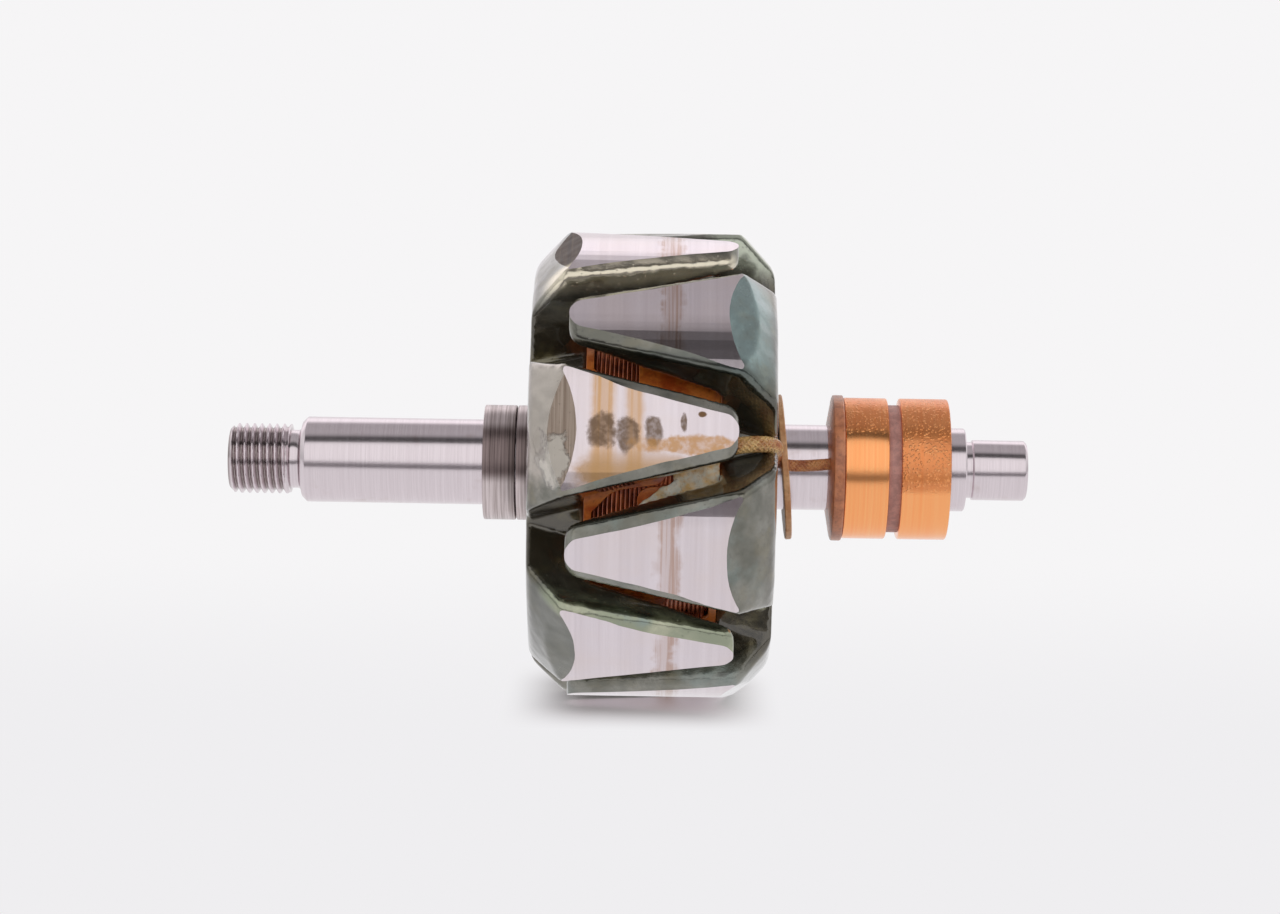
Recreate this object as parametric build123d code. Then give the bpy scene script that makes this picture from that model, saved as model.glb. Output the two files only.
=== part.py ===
"""Claw-pole rotor of a vehicle alternator, lying on its side.

X runs along the shaft from the threaded pulley end to the slip rings, Z is up, and the origin is
on the shaft's axis at the face where the drive-end bearing seats. Lengths are in millimetres.
"""

from build123d import *

import math
import os

# Overall layout along the shaft
thread_end = -50.7
thread_length = 12.0
thread_relief_length = 2.4
shaft_seat_start = 9.2
pack_length = 48.5
insulator_gap = 10.5
rear_journal_length = 10.8
rear_relief_length = 1.5
rear_collar_length = 3.6

# Shaft radii
thread_radius = 7.0
thread_relief_radius = 5.8
drive_journal_radius = 8.5
spacer_seat_radius = 8.75
pole_seat_radius = 9.0
ring_seat_radius = 8.5
rear_collar_radius = 8.3
rear_relief_radius = 5.6
rear_journal_radius = 6.0
thread_chamfer = 1.0
journal_chamfer = 1.0
rear_journal_chamfer = 0.5
centre_hole_radius = 2.2
centre_pilot_radius = 1.0
centre_pilot_depth = 5.0
centre_cone_angle = 60.0

# Spacer and stop ring at the drive end
collar_radius = 11.45
spacer_length = 6.4
collar_gap = 0.2
collar_edge = 0.25

# Claw poles
claw_count = 6
pole_radius = 46.2
tip_setback = 8.1
web_thickness = 11.4
valley_depth = 4.0
valley_floor_width = 1.0
root_bevel_width = 0.9
valley_fillet = 0.7
first_claw_angle = -15.0
tip_width = 9.6
tip_top_width = 5.4
tip_corner_radius = 3.2
tip_corner_cut = 1.5
tip_corner_fall = 52.0
bevel_angle = 36.0
facet_angle = 26.9
facet_reach = 10.1
shoulder_angle = 47.0
shoulder_reach = 7.05
shoulder_corner_radius = 4.5
face_draft = 0.6
face_flat_radius = 20.0
shoulder_bevel_angle = 40.0
claw_root_depth = 9.35
claw_tip_depth = 3.4
root_inner_fillet = 2.2

# Field coil
coil_depth = 8.5
bobbin_wall = 1.0
star_thickness = 1.5
winding_edge_radius = 0.8
tongue_thickness = 0.5
tongue_end_gap = 8.6
tongue_base_angle = 16.5
tongue_end_angle = 14.0
tongue_corner_radius = 2.5
tongue_root_flare = 4.0
tongue_throat_radius = 6.0
tongue_air_gap = 0.15
match_tolerance = 0.01

# Slip rings and their insulator
ring_radius = 14.05
ring_wall = 2.1
inner_ring_width = 8.7
outer_ring_width = 9.7
ring_gap = 2.4
ring_edge = 0.35
flange_radius = 14.55
flange_width = 2.1
insulator_nose_length = 1.0
insulator_nose_radius = 9.2
gap_rib_radius = 12.7

# Leads, their washer and the tape on the coil
lead_radius = 1.2
sleeve_radius = 1.65
lead_clearance = 0.15
lead_seat_gap = 0.1
lead_groove_depth = 0.5
lead_start_inset = 4.0
lead_start_drift = 5.0
lead_web_drift = 2.0
lead_drop_height = 3.3
lead_bend_reach = 3.4
lead_bend_drift = 10.2
lead_end_reach = 3.2
lead_end_drift = 1.8
bend_share = 0.45
washer_radius = 14.5
washer_thickness = 1.3
washer_bore_clearance = 0.3
washer_tilt = 4.9
washer_offset = 1.95
washer_notch_clearance = 0.6
tape_thickness = 0.6
tape_clearance = 0.05
tape_overhang = 1.5
tape_length = 8.6
tape_width = 8.4
tape_lead_gap = 1.0
tape_tail_length = 5.3
tape_tail_drop = 3.8
tape_edge_slant = 1.2
splice_radius = 2.3
splice_length = 6.5

# Places that follow from the sizes above
pack_end = shaft_seat_start + pack_length
finger_length = pack_length - tip_setback
claw_step = 360.0 / claw_count
ring_end_angle = first_claw_angle + claw_step / 2
thread_start = thread_end + thread_length
journal_start = thread_start + thread_relief_length
insulator_start = pack_end + insulator_gap
flange_start = insulator_start + insulator_nose_length
inner_ring_start = flange_start + flange_width
gap_start = inner_ring_start + inner_ring_width
outer_ring_start = gap_start + ring_gap
insulator_end = outer_ring_start + outer_ring_width
rear_collar_end = insulator_end + rear_collar_length
rear_journal_start = rear_collar_end + rear_relief_length
shaft_end = rear_journal_start + rear_journal_length
root_underside = pole_radius - claw_root_depth
tip_underside = pole_radius - claw_tip_depth
tongue_radius = root_underside - root_inner_fillet - tongue_air_gap
winding_radius = tongue_radius - tongue_thickness
valley_radius = winding_radius - valley_depth
core_radius = winding_radius - coil_depth - bobbin_wall
root_width = 2 * valley_radius * math.sin(math.radians(claw_step / 2)) - valley_floor_width
root_top_width = root_width - 2 * root_bevel_width
winding_start = shaft_seat_start + web_thickness + star_thickness
winding_end = pack_end - web_thickness - star_thickness
tongue_length = winding_end - winding_start - tongue_end_gap


def turned(outline):
    """A solid of revolution about the shaft's axis, from (x, radius) points."""
    face = make_face(Polyline(*outline, close=True))
    return revolve(face, axis=Axis.X)


def tube(start, end, inner, outer, edge=0.0):
    """A plain turned ring, with its outer edges broken by a small chamfer."""
    outline = [(start, inner), (start, outer - edge)]
    if edge:
        outline.append((start + edge, outer))
        outline.append((end - edge, outer))
    else:
        outline.append((start, outer))
        outline.append((end, outer))
    if edge:
        outline.append((end, outer - edge))
    outline.append((end, inner))
    unique = [p for i, p in enumerate(outline) if i == 0 or p != outline[i - 1]]
    return turned(unique)


def around(shape, angle):
    """The shape turned about the shaft by an angle in degrees."""
    return Rot(angle, 0, 0) * shape


def to_side(angle):
    """The turn that brings a piece made upright to an angle below the front of the rotor."""
    return 90.0 + angle


def centre_hole(x, direction):
    """The lathe centre in a shaft end: a pilot drilling with a countersunk mouth."""
    cone_depth = (centre_hole_radius - centre_pilot_radius) / math.tan(math.radians(centre_cone_angle / 2))
    pilot_end = x + direction * centre_pilot_depth
    outline = [
        (x, 0.0),
        (x, centre_hole_radius),
        (x + direction * cone_depth, centre_pilot_radius),
        (pilot_end, centre_pilot_radius),
        (pilot_end, 0.0),
    ]
    return turned(outline)


def make_shaft():
    """The turned shaft, from the pulley thread to the rear bearing journal."""
    outline = [
        (thread_end, 0.0),
        (thread_end, thread_radius - thread_chamfer),
        (thread_end + thread_chamfer, thread_radius),
        (thread_start, thread_radius),
        (thread_start, thread_relief_radius),
        (journal_start, thread_relief_radius),
        (journal_start, drive_journal_radius - journal_chamfer),
        (journal_start + journal_chamfer, drive_journal_radius),
        (0.0, drive_journal_radius),
        (0.0, spacer_seat_radius),
        (shaft_seat_start, spacer_seat_radius),
        (shaft_seat_start, pole_seat_radius),
        (pack_end, pole_seat_radius),
        (pack_end, ring_seat_radius),
        (insulator_end, ring_seat_radius),
        (insulator_end, rear_collar_radius),
        (rear_collar_end, rear_collar_radius),
        (rear_collar_end, rear_relief_radius),
        (rear_journal_start, rear_relief_radius),
        (rear_journal_start, rear_journal_radius),
        (shaft_end - rear_journal_chamfer, rear_journal_radius),
        (shaft_end, rear_journal_radius - rear_journal_chamfer),
        (shaft_end, 0.0),
    ]
    shaft = turned(outline)
    return shaft - centre_hole(thread_end, 1) - centre_hole(shaft_end, -1)


def finger_side_profile():
    """The claw seen from its side: web, flat sloping facet, turned top and sloping underside."""
    slope = math.tan(math.radians(facet_angle))
    top = pole_radius + claw_tip_depth
    web_foot = valley_radius / 2
    points = [
        (0.0, web_foot),
        (0.0, pole_radius - facet_reach * slope),
        (facet_reach + (top - pole_radius) / slope, top),
        (finger_length, top),
        (finger_length, tip_underside),
        (web_thickness, root_underside),
        (web_thickness, web_foot),
    ]
    face = make_face(Polyline(*points, close=True))
    inner_corner = face.vertices().sort_by_distance((web_thickness, root_underside, 0.0))[0]
    return fillet(inner_corner, root_inner_fillet)


def finger_plan_profile():
    """The claw seen from above: a straight taper with a rounded tip."""
    points = [
        (0.0, -root_width / 2),
        (finger_length, -tip_width / 2),
        (finger_length, tip_width / 2),
        (0.0, root_width / 2),
    ]
    face = make_face(Polyline(*points, close=True))
    corners = face.vertices().sort_by(Axis.X)[-2:]
    return fillet(corners, tip_corner_radius)


def make_claw_blank():
    """The turned outline that every claw is cut from: rounded rim, steep shoulder and running surface."""
    slope = math.tan(math.radians(shoulder_angle))
    rim_radius = pole_radius - shoulder_reach * slope
    points = [
        (0.0, 0.0),
        (0.0, face_flat_radius),
        (face_draft, rim_radius + face_draft * slope),
        (shoulder_reach, pole_radius),
        (finger_length, pole_radius),
        (finger_length, 0.0),
    ]
    face = make_face(Polyline(*points, close=True))
    rim = face.vertices().sort_by_distance((face_draft, rim_radius, 0.0))[0]
    return revolve(fillet(rim, shoulder_corner_radius), axis=Axis.X)


def top_half_width(x):
    """Half the width of a claw's turned surface, at a distance from its outer face."""
    share = x / finger_length
    return (root_top_width * (1 - share) + tip_top_width * share) / 2


def top_point(x, radius, side):
    """A point on the edge of a claw's top, on one side."""
    half_width = top_half_width(x)
    return Vector(x, side * half_width, math.sqrt(radius**2 - half_width**2))


def edge_cutter(start, end, side, fall):
    """A block over the bevel that starts at the line from start to end and falls away to one side."""
    along = (end - start).normalized()
    level = Vector(0, side, 0)
    level = (level - along * level.dot(along)).normalized()
    upright = along.cross(level)
    if upright.Z < 0:
        upright = upright * -1
    outward = level * math.cos(math.radians(fall)) - upright * math.sin(math.radians(fall))
    normal = along.cross(outward)
    if normal.Z < 0:
        normal = normal * -1
    size = 4 * finger_length
    middle = (start + end) / 2
    return Plane(origin=middle, x_dir=along, z_dir=normal) * Pos(0, 0, size / 2) * Box(size, size, size)


def make_finger():
    """One claw, upright, with its root at x = 0 and its tip pointing along +X."""
    side_profile = extrude(Plane.XZ * finger_side_profile(), amount=root_width, both=True)
    plan_profile = extrude(finger_plan_profile(), amount=2 * pole_radius)
    finger = make_claw_blank() & side_profile & plan_profile
    rim_radius = pole_radius - shoulder_reach * math.tan(math.radians(shoulder_angle))
    for side in (-1, 1):
        corner = top_point(shoulder_reach, pole_radius, side)
        tip = top_point(finger_length, pole_radius, side)
        rim = top_point(0.0, rim_radius, side)
        finger -= edge_cutter(corner, tip, side, bevel_angle)
        finger -= edge_cutter(rim, corner, side, shoulder_bevel_angle)
        corner_start = top_point(finger_length - tip_corner_cut, pole_radius, side)
        corner_end = Vector(finger_length, tip.Y - side * tip_corner_cut, tip.Z)
        finger -= edge_cutter(corner_start, corner_end, side, tip_corner_fall)
    return finger


def make_web():
    """The thick disc that carries the claws, with a slightly conical outer face."""
    points = [
        (0.0, 0.0),
        (0.0, face_flat_radius),
        (face_draft, valley_radius),
        (web_thickness, valley_radius),
        (web_thickness, 0.0),
    ]
    return turned(points)


def is_valley_edge(edge):
    """True for an edge where a claw's side meets the rim of the web."""
    ends = [edge @ 0, edge @ 1]
    on_rim = all(abs(math.hypot(p.Y, p.Z) - valley_radius) < match_tolerance for p in ends)
    return on_rim and abs(ends[0].X - ends[1].X) > web_thickness / 2


def make_pole_half():
    """A pole half with its outer face at x = 0 and its claws pointing along +X, first claw upright."""
    half = make_web()
    finger = make_finger()
    for k in range(claw_count):
        half += around(finger, k * claw_step)
    half = half.fillet(valley_fillet, half.edges().filter_by(is_valley_edge))
    bore = Rot(0, 90, 0) * Cylinder(pole_seat_radius, 4 * web_thickness)
    return half - bore


def make_drive_end_pole_half(half):
    """The forging at the drive end, with a claw at the front."""
    return Pos(shaft_seat_start, 0, 0) * around(half, to_side(first_claw_angle))


def make_ring_end_pole_half(half, lead_channels):
    """The same forging facing the other way, turned by half a claw step, with a groove for each lead."""
    facing = Pos(pack_end, 0, 0) * Rot(0, 180, 0) * half
    half = around(facing, to_side(ring_end_angle))
    for channel in lead_channels:
        half -= channel
    return half


def make_core():
    return tube(shaft_seat_start + web_thickness, pack_end - web_thickness, pole_seat_radius, core_radius)


def make_bobbin_tube():
    return tube(winding_start, winding_end, core_radius, core_radius + bobbin_wall)


def make_winding():
    """The field coil as one wound body with rounded shoulders."""
    inner = core_radius + bobbin_wall
    face = Pos((winding_start + winding_end) / 2, (inner + winding_radius) / 2) * Rectangle(
        winding_end - winding_start, winding_radius - inner
    )
    face = fillet(face.vertices().sort_by(Axis.Y)[-2:], winding_edge_radius)
    return revolve(face, axis=Axis.X)


def tongue_plan():
    """A tongue of the insulation star laid flat, from the coil's end at x = 0 to its rounded tip."""
    base = tongue_radius * math.sin(math.radians(tongue_base_angle))
    tip = tongue_radius * math.sin(math.radians(tongue_end_angle))
    flare = base + tongue_root_flare
    points = [
        (-star_thickness, -flare),
        (0.0, -flare),
        (tongue_root_flare, -base),
        (tongue_length, -tip),
        (tongue_length, tip),
        (tongue_root_flare, base),
        (0.0, flare),
        (-star_thickness, flare),
    ]
    face = make_face(Polyline(*points, close=True))
    tips = face.vertices().sort_by(Axis.X)[-2:]
    face = fillet(tips, tongue_corner_radius)
    throats = [v for v in face.vertices() if abs(v.X - tongue_root_flare) < match_tolerance]
    return fillet(throats, tongue_throat_radius)


def make_star():
    """Star-shaped insulation: a disc beside the coil, with tongues folded over it under the claws.

    It is made with the coil's end at x = 0 and its tongues along +X, the first one upright.
    """
    disc = tube(-star_thickness, 0.0, core_radius, tongue_radius)
    skin = tube(0.0, tongue_length, winding_radius, tongue_radius)
    plan = extrude(tongue_plan(), amount=2 * tongue_radius)
    star = disc
    for k in range(claw_count):
        star += skin & around(plan, k * claw_step)
    return star


def make_spacer():
    return tube(0.0, spacer_length, spacer_seat_radius, collar_radius, collar_edge)


def make_stop_ring():
    start = spacer_length + collar_gap
    return tube(start, shaft_seat_start, spacer_seat_radius, collar_radius, collar_edge)


def make_ring_insulator(lead_channels):
    """The moulded body under the slip rings, with a flange, a rib between the rings and a nose."""
    seat = ring_radius - ring_wall
    outline = [
        (insulator_start, ring_seat_radius),
        (insulator_start, insulator_nose_radius),
        (flange_start, flange_radius),
        (inner_ring_start, flange_radius),
        (inner_ring_start, seat),
        (gap_start, seat),
        (gap_start, gap_rib_radius),
        (outer_ring_start, gap_rib_radius),
        (outer_ring_start, seat),
        (insulator_end, seat),
        (insulator_end, ring_seat_radius),
    ]
    insulator = turned(outline)
    for channel in lead_channels:
        insulator -= channel
    return insulator


def make_slip_ring(start, width):
    return tube(start, start + width, ring_radius - ring_wall, ring_radius, ring_edge)


def lead_points():
    """The near lead's route as (x, radius, angle) places, from the coil to the slip rings."""
    over_coil = tongue_radius + sleeve_radius + lead_seat_gap
    over_web = valley_radius + sleeve_radius + lead_seat_gap
    in_groove = pack_end - lead_groove_depth
    along_shaft = ring_seat_radius + lead_radius + lead_seat_gap
    places = [
        (winding_end - lead_start_inset, over_coil, first_claw_angle + lead_start_drift),
        (winding_end + star_thickness + sleeve_radius, over_coil, first_claw_angle + lead_web_drift),
        (in_groove, over_web, first_claw_angle),
        (in_groove, along_shaft + lead_drop_height, first_claw_angle),
        (in_groove + lead_bend_reach, along_shaft, first_claw_angle + lead_bend_drift),
        (insulator_start + lead_end_reach, along_shaft, first_claw_angle + lead_end_drift),
    ]
    points = []
    for x, radius, angle in places:
        turn = math.radians(angle)
        points.append(Vector(x, -radius * math.cos(turn), -radius * math.sin(turn)))
    return points


def bend_radii(points):
    """The radius of each bend in a route, as large as its two runs allow."""
    radii = []
    for before, here, after in zip(points, points[1:], points[2:]):
        turn = math.radians((here - before).get_angle(after - here))
        shorter = min((here - before).length, (after - here).length)
        radii.append(bend_share * shorter / math.tan(turn / 2))
    return radii


def lead_path():
    """Straight runs joined by tangent arcs, from the coil to the slip rings."""
    points = lead_points()
    radii = bend_radii(points)
    print("lead bend radii:", [round(r, 1) for r in radii])
    return FilletPolyline(*points, radius=radii)


def sleeve_path():
    """The first part of the lead's path, from the coil to halfway down the pole face."""
    points = lead_points()
    radii = bend_radii(points)
    last = (points[2] + points[3]) / 2
    return FilletPolyline(*points[:3], last, radius=radii[:2])


def tube_along(path, radius):
    """A round tube swept along a path."""
    section = Plane(origin=path @ 0, z_dir=path % 0) * Circle(radius)
    return sweep(section, path=path)


def straight_channel(start, end, clearance):
    """A round channel for one straight run of a lead, a little longer than the run."""
    along = (end - start).normalized()
    length = (end - start).length + 2 * clearance
    body = Pos(0, 0, length / 2 - clearance) * Cylinder(lead_radius + clearance, length)
    return Plane(origin=start, z_dir=along) * body


def make_lead_washer(lead_channels):
    """The insulating washer that holds both leads against the pole, hanging a little askew."""
    bore = ring_seat_radius + washer_bore_clearance
    flat = tube(-washer_thickness / 2, washer_thickness / 2, bore, washer_radius, 0.2)
    washer = Pos(pack_end + washer_offset, 0, 0) * Rot(0, -washer_tilt, 0) * flat
    for channel in lead_channels:
        washer -= channel
    return washer


def make_tape(sleeve):
    """Glass tape laid over the coil's outlet, with a ridge where it wraps the lead's splice."""
    inner = tongue_radius + tape_clearance
    skin = tube(winding_start, winding_end + star_thickness, inner, inner + tape_thickness)
    right = winding_end + tape_overhang
    left = right - tape_length
    top = -tape_lead_gap
    bottom = top - tape_width
    outline = [
        (right, top),
        (left, top),
        (left, bottom),
        (left - tape_tail_length, bottom - tape_tail_drop),
        (right, bottom + tape_edge_slant),
    ]
    face = make_face(Polyline(*outline, close=True))
    patch = skin & around(extrude(Plane.XZ * face, amount=2 * tongue_radius), first_claw_angle)
    start, end = lead_points()[:2]
    along = (end - start).normalized()
    ridge_start = start - along * splice_radius
    ridge = Pos(0, 0, splice_length / 2) * Cylinder(splice_radius, splice_length)
    coil_space = tube(shaft_seat_start, pack_end, core_radius, inner)
    tape = patch + (Plane(origin=ridge_start, z_dir=along) * ridge - coil_space)
    return tape - sleeve


def save(name, shape):
    export_step(shape, f"parts/{name}.step")


os.makedirs("parts", exist_ok=True)

path = lead_path()
half_turn = Rot(180, 0, 0)
near_lead = tube_along(path, lead_radius)
near_face_groove = tube_along(path, lead_radius + lead_clearance)
near_sleeve_body = tube_along(sleeve_path(), sleeve_radius)
near_sleeve_groove = tube_along(sleeve_path(), sleeve_radius + lead_clearance)
near_sleeve = near_sleeve_body - near_lead
corners = lead_points()
near_notch = straight_channel(corners[3], corners[4], washer_notch_clearance)
near_socket = straight_channel(corners[4], corners[5], lead_clearance)
print("lead length:", round(path.length, 1), "volume error:",
      round(near_lead.volume / (math.pi * lead_radius**2 * path.length) - 1, 4))

pole_half = make_pole_half()
star = make_star()
near_tape = make_tape(near_sleeve_body)

save("shaft", make_shaft())
save("drive_end_spacer", make_spacer())
save("stop_ring", make_stop_ring())
save("pole_half_drive_end", make_drive_end_pole_half(pole_half))
near_grooves = [near_face_groove, near_sleeve_groove]
far_grooves = [half_turn * groove for groove in near_grooves]
save("pole_half_ring_end", make_ring_end_pole_half(pole_half, near_grooves + far_grooves))
save("field_core", make_core())
save("bobbin_tube", make_bobbin_tube())
save("field_winding", make_winding())
save("insulation_star_drive_end", Pos(winding_start, 0, 0) * around(star, to_side(first_claw_angle)))
ring_end_star = Pos(winding_end, 0, 0) * Rot(0, 180, 0) * star
save("insulation_star_ring_end", around(ring_end_star, to_side(ring_end_angle)))
save("coil_tape_near", near_tape)
save("coil_tape_far", half_turn * near_tape)
save("lead_near", near_lead)
save("lead_far", half_turn * near_lead)
save("lead_sleeve_near", near_sleeve)
save("lead_sleeve_far", half_turn * near_sleeve)
save("lead_washer", make_lead_washer([near_notch, half_turn * near_notch]))
save("slip_ring_insulator", make_ring_insulator([near_socket, half_turn * near_socket]))
save("slip_ring_inner", make_slip_ring(inner_ring_start, inner_ring_width))
save("slip_ring_outer", make_slip_ring(outer_ring_start, outer_ring_width))
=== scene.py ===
# %% [markdown]
# # A claw-pole rotor of an alternator
#
# This is the rotor of a vehicle alternator: two forged pole halves with six claws each, a coil
# between them, and a shaft with a threaded end and two copper slip rings. It lies on its side on a
# pale table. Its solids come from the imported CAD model, which serves as a fixed frame in metres.
# This file dresses that frame: it gives the forgings their worn edges and varnish, cuts the thread,
# winds the coil and braids the sleeves of the leads.

import math

import bmesh
import bpy
import numpy as np
from mathutils import Matrix, Quaternion, Vector


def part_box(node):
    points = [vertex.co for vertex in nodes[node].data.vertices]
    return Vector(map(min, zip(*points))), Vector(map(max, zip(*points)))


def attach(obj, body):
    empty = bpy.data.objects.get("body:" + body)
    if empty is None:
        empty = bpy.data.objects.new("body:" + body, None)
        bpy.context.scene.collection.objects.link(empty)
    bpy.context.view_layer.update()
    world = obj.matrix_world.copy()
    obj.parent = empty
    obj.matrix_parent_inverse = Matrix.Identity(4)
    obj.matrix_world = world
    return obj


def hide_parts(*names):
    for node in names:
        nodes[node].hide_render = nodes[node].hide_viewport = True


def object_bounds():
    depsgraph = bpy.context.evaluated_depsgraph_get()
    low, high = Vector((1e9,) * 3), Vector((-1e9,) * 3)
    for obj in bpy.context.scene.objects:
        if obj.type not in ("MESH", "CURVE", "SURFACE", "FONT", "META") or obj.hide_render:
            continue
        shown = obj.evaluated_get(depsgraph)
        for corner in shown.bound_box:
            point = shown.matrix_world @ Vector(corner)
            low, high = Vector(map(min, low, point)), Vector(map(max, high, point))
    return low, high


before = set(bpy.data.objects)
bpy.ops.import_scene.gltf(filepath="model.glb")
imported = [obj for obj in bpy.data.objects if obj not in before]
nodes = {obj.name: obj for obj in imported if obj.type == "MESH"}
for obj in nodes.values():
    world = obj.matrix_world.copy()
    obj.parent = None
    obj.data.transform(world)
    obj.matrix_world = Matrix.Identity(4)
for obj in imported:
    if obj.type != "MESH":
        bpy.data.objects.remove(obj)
cad_low, cad_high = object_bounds()
MM = 0.001
print("frame:", len(nodes), "nodes, box in mm", [round(v / MM, 1) for v in (*cad_low, *cad_high)])

# %% [markdown]
# ## The places that everything else is built from
#
# Blender's pieces have to sit where the CAD solids are. Their sizes could be typed in again, but
# then a change in the CAD model would leave them behind, so they are read from the boxes of the
# nodes. Only what a box can't tell, such as the pitch of the thread, is written down later.

# %% Read the sizes from the frame
def span(node):
    """The start and end of a node along the shaft, and its outer radius."""
    low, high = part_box(node)
    return low.x, high.x, max(high.y, high.z, -low.y, -low.z)


shaft_start, shaft_end, _ = span("shaft")
spacer_start, spacer_end, COLLAR_RADIUS = span("drive_end_spacer")
stop_start, stop_end, _ = span("stop_ring")
_, _, POLE_RADIUS = span("pole_half_drive_end")
_, pack_end, _ = span("pole_half_ring_end")
coil_start, coil_end, COIL_RADIUS = span("field_winding")
moulding_start, moulding_end, FLANGE_RADIUS = span("slip_ring_insulator")
FLOOR_HEIGHT = cad_low.z
print("pole radius in mm", round(POLE_RADIUS / MM, 2), "coil radius", round(COIL_RADIUS / MM, 2))

# %% [markdown]
# ## Camera
#
# The photograph was taken from a little above the shaft with a long lens: 90 mm at 0.64 m fits the
# way the near claws look larger than the far ones. The camera leans by about one degree, which is
# why the shaft runs slightly downhill in the picture.

# %% Place the camera
CAMERA_ELEVATION = math.radians(6.75)
CAMERA_DISTANCE = 0.640
CAMERA_ROLL = math.radians(0.93)
PICTURE_CENTRE = 0.031
CAMERA_PLACE = 0.034
CAMERA_LIFT = 0.0015

backwards = Vector((0.0, -math.cos(CAMERA_ELEVATION), math.sin(CAMERA_ELEVATION)))
upwards = Vector((0.0, math.sin(CAMERA_ELEVATION), math.cos(CAMERA_ELEVATION)))
camera_data = bpy.data.cameras.new("camera")
camera_data.lens = 90
camera_data.sensor_width = 36
camera = bpy.data.objects.new("camera", camera_data)
bpy.context.scene.collection.objects.link(camera)
camera.location = Vector((CAMERA_PLACE, 0, 0)) + backwards * CAMERA_DISTANCE + upwards * CAMERA_LIFT
looking = Vector((PICTURE_CENTRE, 0, 0)) + upwards * CAMERA_LIFT - camera.location
camera.rotation_mode = "QUATERNION"
level = looking.to_track_quat("-Z", "Y")
camera.rotation_quaternion = Quaternion(looking.normalized(), -CAMERA_ROLL) @ level
bpy.context.scene.camera = camera
bpy.context.scene.view_settings.view_transform = "Standard"
print("camera at", [round(v, 3) for v in camera.location])

# %% [markdown]
# ## Helpers for node trees
#
# Materials and geometry trees are both made of nodes and links. Two small helpers keep the code
# readable: one adds a node with its settings, and one feeds a socket with a link or with a number.
# The rest are short names for the sums, steps, noises and mixtures that the masks are made of. The
# same trees could be drawn by hand in the node editor. Written out, they can be read and changed.

# %% Node helpers
def add_node(tree, kind, **settings):
    """A new node in a tree, with some of its settings."""
    node = tree.nodes.new(kind)
    for name, value in settings.items():
        setattr(node, name, value)
    return node


def feed(tree, socket, value):
    """Links an output to a socket, or writes a plain value into it."""
    if isinstance(value, bpy.types.NodeSocket):
        tree.links.new(value, socket)
    else:
        socket.default_value = value


def maths(tree, operation, *values):
    """A sum, product or other calculation on single numbers."""
    node = add_node(tree, "ShaderNodeMath", operation=operation)
    for socket, value in zip(node.inputs, values):
        feed(tree, socket, value)
    return node.outputs[0]


# %% Sums and masks
def times(tree, first, second):
    """A product of two numbers."""
    return maths(tree, "MULTIPLY", first, second)


def plus(tree, first, second):
    """A sum of two numbers."""
    return maths(tree, "ADD", first, second)


def minus(tree, first, second):
    """A difference of two numbers."""
    return maths(tree, "SUBTRACT", first, second)


def larger(tree, first, second):
    """The larger of two numbers, which joins two masks."""
    return maths(tree, "MAXIMUM", first, second)


def apart(tree, first, second):
    """How far two numbers lie apart."""
    return maths(tree, "ABSOLUTE", minus(tree, first, second))


def inverse(tree, mask):
    """The rest of a mask: 1 where it is 0."""
    return minus(tree, 1.0, mask)


# %% Steps, noises and mixtures
def fade(tree, value, low, high):
    """A soft step: 0 below the low value, 1 above the high one."""
    node = add_node(tree, "ShaderNodeMapRange", interpolation_type="SMOOTHSTEP")
    feed(tree, node.inputs["Value"], value)
    feed(tree, node.inputs["From Min"], low)
    feed(tree, node.inputs["From Max"], high)
    return node.outputs["Result"]


def noise(tree, vector, scale, detail=3.0, roughness=0.55):
    """Cloudy noise from 0 to 1 at a point."""
    node = add_node(tree, "ShaderNodeTexNoise")
    feed(tree, node.inputs["Vector"], vector)
    feed(tree, node.inputs["Scale"], scale)
    feed(tree, node.inputs["Detail"], detail)
    feed(tree, node.inputs["Roughness"], roughness)
    return node.outputs["Fac"]


def mix_colours(tree, share, first, second):
    """A mixture of two colours."""
    node = add_node(tree, "ShaderNodeMix", data_type="RGBA")
    feed(tree, node.inputs[0], share)
    feed(tree, node.inputs[6], first)
    feed(tree, node.inputs[7], second)
    return node.outputs[2]


def mix_numbers(tree, share, first, second):
    """A mixture of two numbers."""
    node = add_node(tree, "ShaderNodeMix", data_type="FLOAT")
    feed(tree, node.inputs[0], share)
    feed(tree, node.inputs[2], first)
    feed(tree, node.inputs[3], second)
    return node.outputs[0]


# %% Colours
def paint(red, green, blue):
    """A colour as an eye reads it from 0 to 255, turned into the linear colour that a node wants."""
    linear = []
    for value in (red, green, blue):
        value = value / 255
        linear.append(value / 12.92 if value <= 0.04045 else ((value + 0.055) / 1.055) ** 2.4)
    return (*linear, 1.0)


print("mid grey as a node wants it:", round(paint(128, 128, 128)[0], 3))

# %% [markdown]
# ## Shared effects
#
# Several finishes need the same effects: fine lines from the lathe, ragged patches, bands round
# the rotor and spots at a certain place. Each could be copied into every material that needs it,
# but a node group is built once and takes its own values wherever it is used. A group takes a point
# in millimetres and gives back a mask or a value.

# %% Group helpers
def start_group(name, inputs, outputs):
    """An empty shader node group with named number inputs and outputs, and a point to work on."""
    group = bpy.data.node_groups.new(name, "ShaderNodeTree")
    group.interface.new_socket("Point", in_out="INPUT", socket_type="NodeSocketVector")
    for label, value in inputs.items():
        socket = group.interface.new_socket(label, in_out="INPUT", socket_type="NodeSocketFloat")
        socket.default_value = value
    for label in outputs:
        group.interface.new_socket(label, in_out="OUTPUT", socket_type="NodeSocketFloat")
    start = group.nodes.new("NodeGroupInput")
    end = group.nodes.new("NodeGroupOutput")
    return group, start.outputs, end.inputs


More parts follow.
